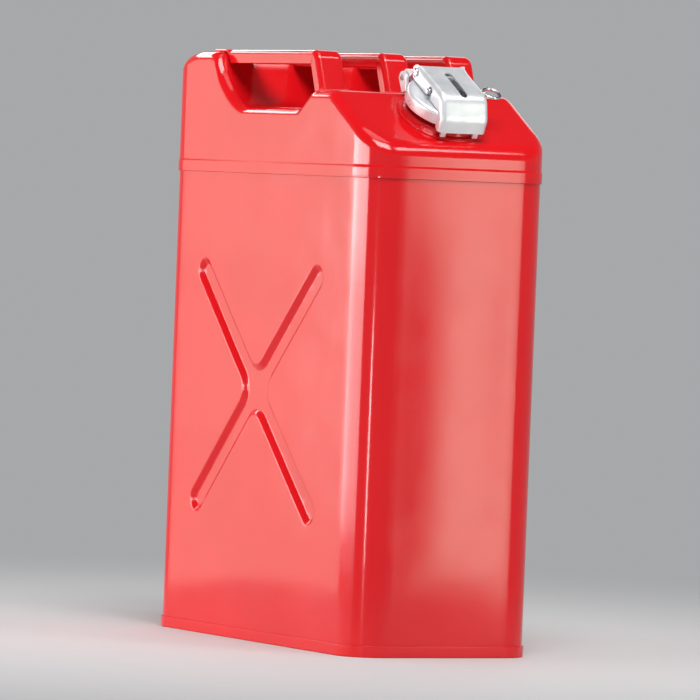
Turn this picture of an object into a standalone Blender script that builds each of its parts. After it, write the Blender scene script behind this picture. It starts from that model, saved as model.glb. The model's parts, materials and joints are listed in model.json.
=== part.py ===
"""A 20 litre steel jerry can with three carrying bars and a cam-lever closure.

Frame: metres, +Z up, the can stands on z = 0, X is its thickness, and the spout faces -Y.
The origin is under the middle of the can.
"""
import math

import bmesh
import bpy
from mathutils import Matrix, Vector

MM = 0.001

# Overall size
HEIGHT = 470 * MM
DEPTH = 345 * MM
THICKNESS = 165 * MM
CORNER_R = 28 * MM
SHEET = 0.9 * MM
GAP = 0.3 * MM

# Levels and stations of the pressed top. A station is a distance from the can's back.
SKIRT_Z = 371 * MM
LAP_TOP_Z = 380 * MM
LAP_STEP = 0.6 * MM
TOP_EDGE_R = 9 * MM
HUMP_Z = 468 * MM
HUMP_CORNER = (48 * MM, 32 * MM)
HUMP_END = 76 * MM
SCOOP_START = (84 * MM, 452 * MM)
DIP_Z = 424.5 * MM
DIP_START = 130 * MM
DIP_END = 220 * MM
BUMP_Z = 438.5 * MM
BUMP_START = 240 * MM
RAMP_START = 274 * MM
FRONT_Z = 396 * MM

# Wrapped body and its pressed X
SLEEVE_INSET = 1.3 * MM
SLEEVE_Z = (1.6 * MM, 379.6 * MM)
CROSS_CENTRE = (5 * MM, 199.5 * MM)
CROSS_HALF = (101 * MM, 98 * MM)
CROSS_HALF_WIDTH = 9 * MM
CROSS_DEPTH = 3.6 * MM
CROSS_SLOPE = 3.2 * MM
CROSS_FILLET = 16 * MM

# Rolled seam round the base
CHIME_H = 9 * MM
PANEL_Z = 5.7 * MM

# Carrying bars
BAR_WIDTH = 24 * MM
BAR_DEPTH = 11 * MM
BAR_SPACING = 59 * MM
BAR_SHEET = 1.6 * MM

# Closure, in the ramp's own frame: s runs down the ramp, n stands out of it
RAMP_TILT = math.atan2(BUMP_Z - FRONT_Z, DEPTH - RAMP_START)
NECK_DOWN_RAMP = 36.5 * MM
MOUTH_R = 24 * MM
NECK_R = 25.5 * MM
LIP_R = 28.8 * MM
LIP_N = 14 * MM
COLLAR_R = 35 * MM
LID_R = 32.5 * MM
LID_TOP_N = 20.2 * MM
PIN_R = 2 * MM
PIN_HOLE_R = 2.4 * MM
HINGE = (-40 * MM, 12 * MM)
LEVER_PIVOT = (-22 * MM, 27.5 * MM)
LOCK = (5 * MM, 27 * MM)
BRIDGE_HALF = 17.5 * MM
EAR_SHEET = 2.5 * MM
LEVER_HALF = 21 * MM
LEVER_SHEET = 1.4 * MM

ROUND_STEPS = 32
PIN_STEPS = 20

RED = (0.72, 0.012, 0.018, 1)
ZINC = (0.78, 0.79, 0.78, 1)
STEEL = (0.55, 0.55, 0.56, 1)
RUBBER = (0.02, 0.02, 0.02, 1)


# ---------------------------------------------------------------- scene

def start_scene():
    for obj in list(bpy.data.objects):
        bpy.data.objects.remove(obj, do_unlink=True)
    parts = bpy.data.collections.new("jerry_can")
    cutters = bpy.data.collections.new("cutters")
    for collection in (parts, cutters):
        bpy.context.scene.collection.children.link(collection)
    return parts, cutters


PARTS, CUTTERS = start_scene()


def make_material(name, colour, roughness, metallic):
    material = bpy.data.materials.new(name)
    material.use_nodes = True
    shader = material.node_tree.nodes["Principled BSDF"]
    shader.inputs["Base Color"].default_value = colour
    shader.inputs["Roughness"].default_value = roughness
    shader.inputs["Metallic"].default_value = metallic
    return material


def painted(name):
    return make_material(name, RED, 0.18, 0.0)


def plated(name):
    return make_material(name, ZINC, 0.2, 1.0)


def bare_steel(name):
    return make_material(name, STEEL, 0.35, 1.0)


def finish(obj, material_maker):
    """Give a part its own material and shade its round faces smooth."""
    obj.data.materials.clear()
    obj.data.materials.append(material_maker(obj.name))
    obj.data.shade_smooth()
    obj.data.set_sharp_from_angle(angle=math.radians(35))
    return obj


def new_object(name, mesh, collection=PARTS, parent=None):
    obj = bpy.data.objects.new(name, mesh)
    collection.objects.link(obj)
    obj.parent = parent
    if collection is CUTTERS:
        obj.hide_render = True
        obj.display_type = "WIRE"
    return obj


def mesh_from(bm, name):
    """Mesh of a closed bmesh, with its faces pointing out."""
    bmesh.ops.recalc_face_normals(bm, faces=bm.faces)
    if bm.calc_volume(signed=True) < 0:
        bmesh.ops.reverse_faces(bm, faces=bm.faces)
    mesh = bpy.data.meshes.new(name)
    bm.to_mesh(mesh)
    bm.free()
    return mesh


def add_boolean(obj, other, operation="DIFFERENCE"):
    modifier = obj.modifiers.new(f"{operation.lower()}_{other.name}", "BOOLEAN")
    modifier.operation = operation
    modifier.solver = "EXACT"
    modifier.object = other


def add_bevel(obj, width, segments=2, degrees=60):
    modifier = obj.modifiers.new("rounded_edges", "BEVEL")
    modifier.width = width
    modifier.segments = segments
    modifier.limit_method = "ANGLE"
    modifier.angle_limit = math.radians(degrees)


def add_empty(name, location, rotation=(0, 0, 0), parent=None):
    empty = bpy.data.objects.new(name, None)
    PARTS.objects.link(empty)
    empty.parent = parent
    empty.location = location
    empty.rotation_euler = rotation
    return empty


# ---------------------------------------------------------------- shape tools

def rounded_polygon(corners, steps=4):
    """Corner points (u, v, radius) to an outline whose corners are arcs."""
    outline = []
    count = len(corners)
    for index, (u, v, radius) in enumerate(corners):
        here = Vector((u, v))
        before = Vector(corners[index - 1][:2]) - here
        after = Vector(corners[(index + 1) % count][:2]) - here
        if radius <= 0:
            outline.append(tuple(here))
            continue
        half = before.angle(after) / 2
        tangent = radius / math.tan(half)
        centre = here + (before.normalized() + after.normalized()).normalized() * (radius / math.sin(half))
        start = here + before.normalized() * tangent - centre
        turn = math.pi - 2 * half
        turn *= 1 if before.cross(after) < 0 else -1
        for step in range(steps + 1):
            outline.append(tuple(centre + Matrix.Rotation(turn * step / steps, 2) @ start))
    return outline


def plate_mesh(name, outline, low_x, high_x):
    """A flat outline (s, n) standing in a plane across X, extruded from low_x to high_x."""
    curve = bpy.data.curves.new(name, "CURVE")
    curve.dimensions = "2D"
    curve.fill_mode = "BOTH"
    curve.extrude = (high_x - low_x) / 2
    spline = curve.splines.new("POLY")
    spline.points.add(len(outline) - 1)
    for point, (s, n) in zip(spline.points, outline):
        point.co = (s, n, 0, 1)
    spline.use_cyclic_u = True
    holder = bpy.data.objects.new(name, curve)
    bpy.context.scene.collection.objects.link(holder)
    bpy.context.view_layer.update()
    mesh = bpy.data.meshes.new_from_object(holder.evaluated_get(bpy.context.evaluated_depsgraph_get()))
    bpy.data.objects.remove(holder)
    bm = bmesh.new()
    bm.from_mesh(mesh)
    bmesh.ops.remove_doubles(bm, verts=bm.verts, dist=1e-6)
    bmesh.ops.dissolve_limit(bm, angle_limit=0.001, verts=bm.verts, edges=bm.edges)
    # s goes to -Y, n to +Z and the extrusion to X
    middle = (low_x + high_x) / 2
    turn = Matrix(((0, 0, 1, middle), (-1, 0, 0, 0), (0, 1, 0, 0), (0, 0, 0, 1)))
    bm.transform(turn)
    return mesh_from(bm, name)


def plate(name, outline, low_x, high_x, collection=PARTS, parent=None):
    return new_object(name, plate_mesh(name, outline, low_x, high_x), collection, parent)


def turned(name, profile, collection=PARTS, parent=None, steps=ROUND_STEPS):
    """A closed profile (radius, height) that stays off the axis, turned about Z."""
    bm = bmesh.new()
    verts = [bm.verts.new((radius, 0, height)) for radius, height in profile]
    for index, vert in enumerate(verts):
        bm.edges.new((verts[index - 1], vert))
    mesh = bpy.data.meshes.new(name)
    bm.to_mesh(mesh)
    bm.free()
    obj = new_object(name, mesh, collection, parent)
    screw = obj.modifiers.new("turn", "SCREW")
    screw.steps = steps
    screw.render_steps = steps
    screw.use_merge_vertices = True
    screw.merge_threshold = 0.00001
    screw.use_smooth_shade = True
    screw.use_normal_calculate = True
    return obj


def cylinder_mesh(name, radius, low, high, axis="Z", centre=(0, 0), steps=PIN_STEPS):
    """A closed cylinder from low to high along Z, or along X at the closure point (s, n)."""
    bm = bmesh.new()
    bmesh.ops.create_cone(bm, cap_ends=True, segments=steps, radius1=radius, radius2=radius, depth=high - low)
    bm.transform(Matrix.Translation((0, 0, (low + high) / 2)))
    if axis == "X":
        bm.transform(Matrix.Rotation(math.radians(90), 4, "Y"))
        bm.transform(Matrix.Translation((0, -centre[0], centre[1])))
    return mesh_from(bm, name)


def cross_hole(name, centre, radius, half_length, parent):
    mesh = cylinder_mesh(name, radius, -half_length, half_length, "X", centre)
    return new_object(name, mesh, CUTTERS, parent)


def outline_ring(inset, stations=(), corner_steps=6):
    """Plan of the can, moved inwards by inset, as (x, y) up the right side and down the left.

    Stations add points on the two long sides, where the pressed top changes.
    """
    centre_x = THICKNESS / 2 - CORNER_R
    centre_y = DEPTH / 2 - CORNER_R
    radius = CORNER_R - inset
    right = []
    for step in range(corner_steps + 1):
        angle = -math.pi / 2 + math.pi / 2 * step / corner_steps
        right.append((centre_x + radius * math.cos(angle), -centre_y + radius * math.sin(angle)))
    for station in reversed(stations):
        right.append((centre_x + radius, DEPTH / 2 - station))
    for step in range(corner_steps + 1):
        angle = math.pi / 2 * step / corner_steps
        right.append((centre_x + radius * math.cos(angle), centre_y + radius * math.sin(angle)))
    left = [(-x, y) for x, y in reversed(right)]
    return right + left


def loft(name, rings, caps, collection=PARTS, parent=None):
    """Join rings of equal length, and close the first or last one with rungs across X."""
    bm = bmesh.new()
    rows = [[bm.verts.new(point) for point in ring] for ring in rings]
    count = len(rows[0])
    for lower, upper in zip(rows, rows[1:]):
        for index in range(count):
            after = (index + 1) % count
            bm.faces.new((lower[index], lower[after], upper[after], upper[index]))
    for row in [rows[0]] * ("first" in caps) + [rows[-1]] * ("last" in caps):
        for index in range(count // 2 - 1):
            mirror = count - 1 - index
            bm.faces.new((row[index], row[index + 1], row[mirror - 1], row[mirror]))
    return new_object(name, mesh_from(bm, name), collection, parent)


def ring_at(inset, height, stations=()):
    """A level ring of the can's plan."""
    return [(x, y, height) for x, y in outline_ring(inset, stations)]


# ---------------------------------------------------------------- pressed top

CROWN_STATIONS = [station * MM for station in (
    36, 48, 72, 76, 80, 84, 90, 97, 106, 117, 130, 217, 222, 238, 242, 271, 277)]


def crown_line(station):
    """Height of the pressed top's crown at a distance from the back, before its corners are eased."""
    corner_length, corner_height = HUMP_CORNER
    if station < corner_length:
        across = (corner_length - max(station, 0)) / corner_length
        return HUMP_Z - corner_height + corner_height * math.sqrt(1 - across * across)
    if station < HUMP_END:
        return HUMP_Z
    scoop_station, scoop_z = SCOOP_START
    if station < scoop_station:
        return HUMP_Z + (scoop_z - HUMP_Z) * (station - HUMP_END) / (scoop_station - HUMP_END)
    if station < DIP_START:
        rest = 1 - (station - scoop_station) / (DIP_START - scoop_station)
        return DIP_Z + (scoop_z - DIP_Z) * rest ** 1.8
    if station < DIP_END:
        return DIP_Z
    if station < BUMP_START:
        return DIP_Z + (BUMP_Z - DIP_Z) * (station - DIP_END) / (BUMP_START - DIP_END)
    if station < RAMP_START:
        return BUMP_Z
    return BUMP_Z - (station - RAMP_START) * math.tan(RAMP_TILT)


def crown(station, ease=2.5 * MM):
    """The crown line with its corners eased, except on the rounded back corner."""
    if station < HUMP_CORNER[0]:
        return crown_line(station)
    samples = [crown_line(station + ease * k / 3) for k in range(-3, 4)]
    return sum(samples) / len(samples)


def make_top_shell(neck):
    rings = [ring_at(inset, height, CROWN_STATIONS) for inset, height in
             ((0, SKIRT_Z), (0, LAP_TOP_Z), (LAP_STEP, LAP_TOP_Z + 1.2 * MM))]
    edge_steps = 5
    for step in range(edge_steps + 1):
        angle = math.pi / 2 * step / edge_steps
        inset = LAP_STEP + TOP_EDGE_R * (1 - math.cos(angle))
        drop = TOP_EDGE_R * (1 - math.sin(angle))
        rings.append([(x, y, crown(DEPTH / 2 - y) - drop) for x, y in outline_ring(inset, CROWN_STATIONS)])
    shell = loft("top_shell", rings, caps="last")
    skin = shell.modifiers.new("sheet", "SOLIDIFY")
    skin.thickness = SHEET
    skin.offset = -1
    skin.use_even_offset = True
    skin.use_quality_normals = True
    hole = new_object("neck_hole", cylinder_mesh("neck_hole", NECK_R + 0.5 * MM, -30 * MM, 30 * MM,
                                                 steps=ROUND_STEPS), CUTTERS, neck)
    add_boolean(shell, hole)
    return finish(shell, painted)


# ---------------------------------------------------------------- wrapped body and base

def cross_outline(half_width):
    """Outline of the pressed X: four arms with round ends, filleted where they meet."""
    arm_angle = math.atan2(CROSS_HALF[1], CROSS_HALF[0])
    reach = math.hypot(*CROSS_HALF) - CROSS_HALF_WIDTH
    arms = [arm_angle, math.pi - arm_angle, math.pi + arm_angle, 2 * math.pi - arm_angle]
    fillet = CROSS_FILLET + CROSS_HALF_WIDTH - half_width
    points = []
    for index, arm in enumerate(arms):
        for step in range(7):
            angle = arm - math.pi / 2 + math.pi * step / 6
            points.append((reach * math.cos(arm) + half_width * math.cos(angle),
                           reach * math.sin(arm) + half_width * math.sin(angle)))
        following = arms[(index + 1) % 4] + (2 * math.pi if index == 3 else 0)
        half = (following - arm) / 2
        centre_r = (half_width + fillet) / math.sin(half)
        middle = arm + half
        for step in range(6):
            angle = arm + 1.5 * math.pi + (following - arm - math.pi) * step / 5
            points.append((centre_r * math.cos(middle) + fillet * math.cos(angle),
                           centre_r * math.sin(middle) + fillet * math.sin(angle)))
    return points


def cross_cutter(name, side, grow):
    """Sunk X on the side face, made larger all over by grow."""
    face_x = THICKNESS / 2 - SLEEVE_INSET
    levels = [(face_x - CROSS_DEPTH - grow, CROSS_HALF_WIDTH - CROSS_SLOPE + grow),
              (face_x - grow, CROSS_HALF_WIDTH + grow),
              (face_x + 4 * MM, CROSS_HALF_WIDTH + grow)]
    bm = bmesh.new()
    rows = []
    for x, half_width in levels:
        rows.append([bm.verts.new((side * x, CROSS_CENTRE[0] + u, CROSS_CENTRE[1] + v))
                     for u, v in cross_outline(half_width)])
    count = len(rows[0])
    for lower, upper in zip(rows, rows[1:]):
        for index in range(count):
            after = (index + 1) % count
            bm.faces.new((lower[index], lower[after], upper[after], upper[index]))
    bm.faces.new(rows[0])
    bm.faces.new(rows[-1])
    return new_object(name, mesh_from(bm, name), CUTTERS)


def make_body_sleeve():
    low, high = SLEEVE_Z
    sleeve = loft("body_sleeve", [ring_at(SLEEVE_INSET, low), ring_at(SLEEVE_INSET, high)], caps="first last")
    inside = SLEEVE_INSET + SHEET
    cavity = loft("sleeve_inside", [ring_at(inside, low - 10 * MM), ring_at(inside, high + 10 * MM)],
                  caps="first last", collection=CUTTERS)
    for side, label in ((-1, "left"), (1, "right")):
        add_boolean(sleeve, cross_cutter(f"cross_{label}", side, 0))
        add_boolean(cavity, cross_cutter(f"cross_inside_{label}", side, SHEET))
    add_boolean(sleeve, cavity)
    return finish(sleeve, painted)


def make_base_pan():
    """Base with a raised panel; its edge is rolled up round the foot of the body."""
    lip_in = SLEEVE_INSET - GAP
    wall = SLEEVE_INSET + SHEET + GAP
    floor = SLEEVE_Z[0] - GAP
    section = [(wall + 2.4 * MM, PANEL_Z), (wall + SHEET, PANEL_Z - 1.2 * MM), (wall + SHEET, 0.6 * MM),
               (wall + 0.4 * MM, 0), (0.5 * MM, 0), (0, 0.9 * MM), (0, CHIME_H - 0.4 * MM),
               (0.3 * MM, CHIME_H), (lip_in - 0.2 * MM, CHIME_H), (lip_in, CHIME_H - 0.4 * MM),
               (lip_in, floor), (wall, floor), (wall, PANEL_Z), (wall + 1.4 * MM, PANEL_Z + SHEET)]
    pan = loft("base_pan", [ring_at(inset, height) for inset, height in section], caps="first last")
    return finish(pan, painted)


# ---------------------------------------------------------------- carrying bars

def make_handle(name, middle_x):
    """Bar from the hump to the bump: an inverted channel with a welding tongue over the hump."""
    top = HEIGHT
    under = HEIGHT - BAR_DEPTH
    tongue = HUMP_Z + GAP
    slope = (BUMP_Z - DIP_Z) / (BUMP_START - DIP_END)
    foot = [(station * MM, DIP_Z + (station * MM - DIP_END) * slope + 0.9 * MM) for station in (228.6, 239.0)]
    outer = [(56 * MM, tongue, 0), (76.5 * MM, tongue, 0), (83.5 * MM, under, 0), (216.5 * MM, under, 5 * MM),
             (*foot[0], 0), (*foot[1], 0), (227 * MM, top, 9 * MM), (56 * MM, top, 0)]
    inner = [(85 * MM, under - 6 * MM, 0), (85 * MM, top - BAR_SHEET, 0),
             (226 * MM, top - BAR_SHEET, 7.4 * MM), (foot[1][0] - 1.5 * MM, foot[1][1] - 6 * MM, 0),
             (foot[0][0] - 10 * MM, foot[0][1] - 10 * MM, 0), (208 * MM, under - 6 * MM, 0)]

    def along_can(points):
        return [(station - DEPTH / 2, height) for station, height in rounded_polygon(points)]

    half = BAR_WIDTH / 2
    bar = plate(name, along_can(outer), middle_x - half, middle_x + half)
    add_bevel(bar, 0.8 * MM, segments=2, degrees=75)
    hollow = plate(f"{name}_hollow", along_can(inner), middle_x - half + BAR_SHEET, middle_x + half - BAR_SHEET,
                   CUTTERS)
    add_boolean(bar, hollow)
    return finish(bar, painted)


# ---------------------------------------------------------------- neck

def make_neck_frame():
    """Empty on the ramp under the middle of the mouth, with Z out of the ramp and -Y down it."""
    station = RAMP_START + NECK_DOWN_RAMP * math.cos(RAMP_TILT)
    height = BUMP_Z - NECK_DOWN_RAMP * math.sin(RAMP_TILT)
    return add_empty("neck_frame", (0, DEPTH / 2 - station, height), (RAMP_TILT, 0, 0))


def make_filler_neck(neck):
    foot = -14 * MM
    profile = [(MOUTH_R, foot), (NECK_R, foot), (NECK_R, 10.4 * MM), (28.2 * MM, 10.4 * MM),
               (LIP_R, 11.2 * MM), (LIP_R, 13.2 * MM), (28 * MM, LIP_N), (25 * MM, LIP_N), (MOUTH_R, 13 * MM)]
    return finish(turned("filler_neck", profile, parent=neck), painted)


def make_neck_collar(neck):
    inner = NECK_R + 0.4 * MM
    profile = [(inner, 0.35 * MM), (COLLAR_R, 0.35 * MM), (COLLAR_R, 1.5 * MM), (31.6 * MM, 1.7 * MM),
               (30.6 * MM, 4.6 * MM), (29.6 * MM, 5.4 * MM), (inner, 5.4 * MM)]
    return finish(turned("neck_collar", profile, parent=neck), painted)


def make_hinge_ears(neck):
    s, n = HINGE
    outline = rounded_polygon([(s - 5 * MM, n + 5 * MM, 4.6 * MM), (s - 5 * MM, n - 3 * MM, 2 * MM),
                               (-34 * MM, 2 * MM, 0), (-29 * MM, 5.8 * MM, 0), (-30.2 * MM, 8 * MM, 0),
                               (s + 5 * MM, n + 5 * MM, 4.6 * MM)])
    low = BRIDGE_HALF + 0.5 * MM
    for side, label in ((-1, "left"), (1, "right")):
        edges = sorted((side * low, side * (low + EAR_SHEET)))
        ear = plate(f"hinge_ear_{label}", outline, *edges, parent=neck)
        add_boolean(ear, cross_hole(f"ear_hole_{label}", HINGE, PIN_HOLE_R, 40 * MM, neck))
        finish(ear, plated)


def make_latch_lugs(neck):
    """Two small hooks in front of the neck, just behind the lower edge of the lever's flap."""
    outline = rounded_polygon([(29.6 * MM, 5.8 * MM, 0), (31.4 * MM, 2 * MM, 0), (32.6 * MM, 2 * MM, 0),
                               (32.8 * MM, 8.4 * MM, 1.1 * MM), (30 * MM, 8.8 * MM, 1.1 * MM)])
    for side, label in ((-1, "left"), (1, "right")):
        edges = sorted((side * 12 * MM, side * 16.5 * MM))
        finish(plate(f"latch_lug_{label}", outline, *edges, parent=neck), plated)


def make_breather_tube(neck):
    """Air tube from inside the mouth, under the hand dip, up into the hump."""
    mouth = [neck.matrix_basis @ Vector(point) for point in
             ((0, 19 * MM, 9 * MM), (0, 19 * MM, -4 * MM), (0, 20 * MM, -14 * MM))]
    inside = [Vector((0, DEPTH / 2 - station * MM, height * MM)) for station, height in
              ((262, 412), (225, 410), (180, 411), (130, 412), (96, 417), (74, 430), (66, 448), (64, 457))]
    route = mouth + inside
    curve = bpy.data.curves.new("breather_tube", "CURVE")
    curve.dimensions = "3D"
    curve.bevel_depth = 3.5 * MM
    curve.bevel_resolution = 2
    curve.use_fill_caps = True
    spline = curve.splines.new("POLY")
    smooth = smooth_route(route, 4)
    spline.points.add(len(smooth) - 1)
    for point, place in zip(spline.points, smooth):
        point.co = (*place, 1)
    tube = bpy.data.objects.new("breather_tube", curve)
    PARTS.objects.link(tube)
    curve.materials.append(bare_steel("breather_tube"))
    return tube


def smooth_route(points, steps):
    """Points along a Catmull-Rom curve through the given points."""
    ends = [2 * points[0] - points[1], *points, 2 * points[-1] - points[-2]]
    smooth = []
    for a, b, c, d in zip(ends, ends[1:], ends[2:], ends[3:]):
        for step in range(steps):
            t = step / steps
            smooth.append(0.5 * (2 * b + (c - a) * t + (2 * a - 5 * b + 4 * c - d) * t ** 2
                                 + (3 * b - a - 3 * c + d) * t ** 3))
    return smooth + [points[-1]]


# ---------------------------------------------------------------- closure

def make_hinge_pin(neck):
    reach = BRIDGE_HALF + 0.5 * MM + EAR_SHEET + 1.6 * MM
    pin = new_object("hinge_pin", cylinder_mesh("hinge_pin", PIN_R, -reach, reach, "X", HINGE), parent=neck)
    add_bevel(pin, 0.5 * MM, segments=1)
    return finish(pin, bare_steel)


def make_lid_disc(lid):
    under = LID_TOP_N - 1.3 * MM
    profile = [(2.7 * MM, 18.4 * MM), (2.7 * MM, 17.1 * MM), (14.6 * MM, 17.1 * MM), (17 * MM, under),
               (30.2 * MM, under), (LID_R - 1.2 * MM, 17.6 * MM), (LID_R - 1.2 * MM, 9.4 * MM),
               (LID_R, 9.4 * MM), (LID_R, 18.2 * MM), (31.9 * MM, 19.6 * MM), (30.4 * MM, LID_TOP_N),
               (16.4 * MM, LID_TOP_N), (14 * MM, 18.4 * MM)]
    return finish(turned("lid_disc", profile, parent=lid), plated)


def make_lid_gasket(lid):
    top = LID_TOP_N - 1.3 * MM - GAP
    low = LIP_N + GAP
    profile = [(22.5 * MM, top), (29.8 * MM, top), (29.8 * MM, low + 0.8 * MM), (29 * MM, low),
               (23.1 * MM, low), (22.5 * MM, low + 0.6 * MM)]

    def rubber(name):
        return make_material(name, RUBBER, 0.7, 0.0)

    return finish(turned("lid_gasket", profile, parent=lid), rubber)


def make_lid_rivet(lid):
    shank = new_object("lid_rivet", cylinder_mesh("lid_rivet", 2.3 * MM, 16 * MM, 24 * MM), parent=lid)
    low_head = new_object("rivet_low_head", cylinder_mesh("rivet_low_head", 4.4 * MM, 15.4 * MM, 16.8 * MM),
                          CUTTERS, lid)
    high_head = new_object("rivet_high_head", cylinder_mesh("rivet_high_head", 4.4 * MM, 22.9 * MM, 24.6 * MM),
                           CUTTERS, lid)
    add_boolean(shank, low_head, "UNION")
    add_boolean(shank, high_head, "UNION")
    return finish(shank, bare_steel)


def make_lid_bridge(lid):
    """Strap over the lid, rolled round the hinge pin, with two upright ears for the pins."""
    low, high = LID_TOP_N + GAP, LID_TOP_N + 2.3 * MM
    s, n = HINGE
    knuckle = 4.6 * MM
    strap = rounded_polygon([(s - knuckle, n - knuckle, knuckle - 0.01 * MM), (s + knuckle, n - knuckle, 4.4 * MM),
                             (s + knuckle, n + 2 * MM, 1 * MM), (-32.5 * MM, low, 2 * MM), (24 * MM, low, 0),
                             (24 * MM, high, 0), (-34 * MM, high, 4 * MM),
                             (s - knuckle, n + knuckle + 1 * MM, 4 * MM)])
    bridge = plate("lid_bridge", strap, -BRIDGE_HALF, BRIDGE_HALF, parent=lid)
    pivot_s, pivot_n = LEVER_PIVOT
    lock_s, lock_n = LOCK
    boss = 4.2 * MM
    ear = rounded_polygon([(pivot_s - boss, low + 0.5 * MM, 0), (lock_s + 5 * MM, low + 0.5 * MM, 0),
                           (lock_s + 5 * MM, lock_n + 4.6 * MM, 4 * MM), (lock_s - 5 * MM, lock_n + 4.6 * MM, 3 * MM),
                           (-10 * MM, high + 2 * MM, 3 * MM), (pivot_s + boss, pivot_n + boss, boss - 0.1 * MM),
                           (pivot_s - boss, pivot_n + boss, boss - 0.1 * MM)])
    for side, label in ((-1, "left"), (1, "right")):
        edges = sorted((side * (BRIDGE_HALF - EAR_SHEET), side * (BRIDGE_HALF + 0.02 * MM)))
        add_boolean(bridge, plate(f"bridge_ear_{label}", ear, *edges, CUTTERS, lid), "UNION")
    holes = (("bridge_hinge_hole", HINGE, PIN_HOLE_R), ("bridge_pivot_hole", LEVER_PIVOT, PIN_HOLE_R),
             ("bridge_lock_hole", LOCK, PIN_HOLE_R))
    for name, place, radius in holes:
        add_boolean(bridge, cross_hole(name, place, radius, 30 * MM, lid))
    rivet_hole = new_object("bridge_rivet_hole", cylinder_mesh("bridge_rivet_hole", 2.7 * MM, 15 * MM, 26 * MM),
                            CUTTERS, lid)
    add_boolean(bridge, rivet_hole)
    return finish(bridge, plated)


def lever_outlines():
    """Side outlines (s, n) of the lever's hood and of the hollow under it."""
    s, n = LEVER_PIVOT
    boss = 6.1 * MM
    foot = LID_TOP_N + 1.1 * MM
    outer = [(s - boss, n - boss, boss - 0.1 * MM), (26.8 * MM, foot, 3 * MM), (28.2 * MM, 8.8 * MM, 2 * MM),
             (35.9 * MM, 7.8 * MM, 1.5 * MM), (34.9 * MM, 19.2 * MM, 10 * MM), (23 * MM, 34.6 * MM, 12 * MM),
             (s - boss, n + boss, boss - 0.1 * MM)]
    sheet = LEVER_SHEET
    inner = [(s - 12 * MM, n - 14 * MM, 0), (20 * MM, -6 * MM, 0), (36.4 * MM - sheet, -6 * MM, 0),
             (34.9 * MM - sheet, 18.8 * MM, 8.6 * MM), (22.4 * MM, 34.6 * MM - sheet, 10.6 * MM),
             (s - 12 * MM, n + boss - sheet - 0.2 * MM, 0)]
    return outer, inner


def make_cam_lever(lever):
    outer, inner = lever_outlines()
    hood = plate("cam_lever", rounded_polygon(outer, 5), -LEVER_HALF, LEVER_HALF, parent=lever)
    add_bevel(hood, 1.2 * MM, segments=2, degrees=75)
    hollow = plate("lever_hollow", rounded_polygon(inner, 5), -LEVER_HALF + LEVER_SHEET, LEVER_HALF - LEVER_SHEET,
                   CUTTERS, lever)
    add_boolean(hood, hollow)
    add_boolean(hood, cross_hole("lever_pivot_hole", LEVER_PIVOT, PIN_HOLE_R, 30 * MM, lever))
    lock_s, lock_n = LOCK
    half = PIN_HOLE_R + 1.0 * MM
    notch = rounded_polygon([(lock_s - half, lock_n - 12 * MM, 0), (lock_s + half, lock_n - 12 * MM, 0),
                             (lock_s + half, lock_n + half, half * 0.98), (lock_s - half, lock_n + half, half * 0.98)])
    add_boolean(hood, plate("lever_notch", notch, -30 * MM, 30 * MM, CUTTERS, lever))
    slot = slot_cutter("lever_slot", (-9 * MM, 20 * MM), 3.2 * MM, lever)
    add_boolean(hood, slot)
    return finish(hood, plated)


def slot_cutter(name, span, half_width, parent):
    """Oblong prism through the top of the lever, running down the ramp."""
    bm = bmesh.new()
    points = []
    for centre, start in ((span[1], -math.pi), (span[0], 0)):
        for step in range(9):
            angle = start + math.pi * step / 8
            points.append((half_width * math.cos(angle), -centre + half_width * math.sin(angle)))
    rows = [[bm.verts.new((x, y, height * MM)) for x, y in points] for height in (25.5, 45)]
    count = len(points)
    for index in range(count):
        after = (index + 1) % count
        bm.faces.new((rows[0][index], rows[0][after], rows[1][after], rows[1][index]))
    bm.faces.new(rows[0])
    bm.faces.new(rows[1])
    return new_object(name, mesh_from(bm, name), CUTTERS, parent)


def make_lever_pin(lid):
    """Pivot of the lever, headed at both ends outside its flanges."""
    reach = LEVER_HALF + 0.4 * MM
    pin = new_object("lever_pin", cylinder_mesh("lever_pin", PIN_R, -reach - 1 * MM, reach + 1 * MM, "X",
                                                LEVER_PIVOT), parent=lid)
    for side, label in ((-1, "left"), (1, "right")):
        low, high = sorted((side * reach, side * (reach + 1.5 * MM)))
        head = new_object(f"lever_pin_head_{label}", cylinder_mesh(f"lever_pin_head_{label}", 3.6 * MM, low, high,
                                                                   "X", LEVER_PIVOT), CUTTERS, lid)
        add_boolean(pin, head, "UNION")
    return finish(pin, bare_steel)


def make_locking_pin(slide):
    """Plain pin across the bridge with a pull ring on its right-hand end."""
    pin = new_object("locking_pin", cylinder_mesh("locking_pin", PIN_R, -24 * MM, 27.2 * MM, "X", LOCK), parent=slide)
    bm = bmesh.new()
    ring_r, wire_r = 7.0 * MM, 1.4 * MM
    major, minor = 20, 8
    rows = []
    for turn in range(major):
        around = 2 * math.pi * turn / major
        row = []
        for step in range(minor):
            angle = 2 * math.pi * step / minor
            reach = ring_r + wire_r * math.cos(angle)
            row.append(bm.verts.new((34.0 * MM + reach * math.cos(around), -LOCK[0] + reach * math.sin(around),
                                     LOCK[1] + wire_r * math.sin(angle))))
        rows.append(row)
    for turn in range(major):
        for step in range(minor):
            bm.faces.new((rows[turn - 1][step - 1], rows[turn][step - 1], rows[turn][step], rows[turn - 1][step]))
    ring = new_object("pull_ring", mesh_from(bm, "pull_ring"), CUTTERS, slide)
    add_boolean(pin, ring, "UNION")
    return finish(pin, bare_steel)


def moving_frame(name, place, neck):
    """Empty on a joint's axis, and one child that brings the shapes back to the neck's frame."""
    s, n = place
    axis = add_empty(f"{name}_axis", (0, -s, n), parent=neck)
    return axis, add_empty(f"{name}_shapes", (0, s, -n), parent=axis)


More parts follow.
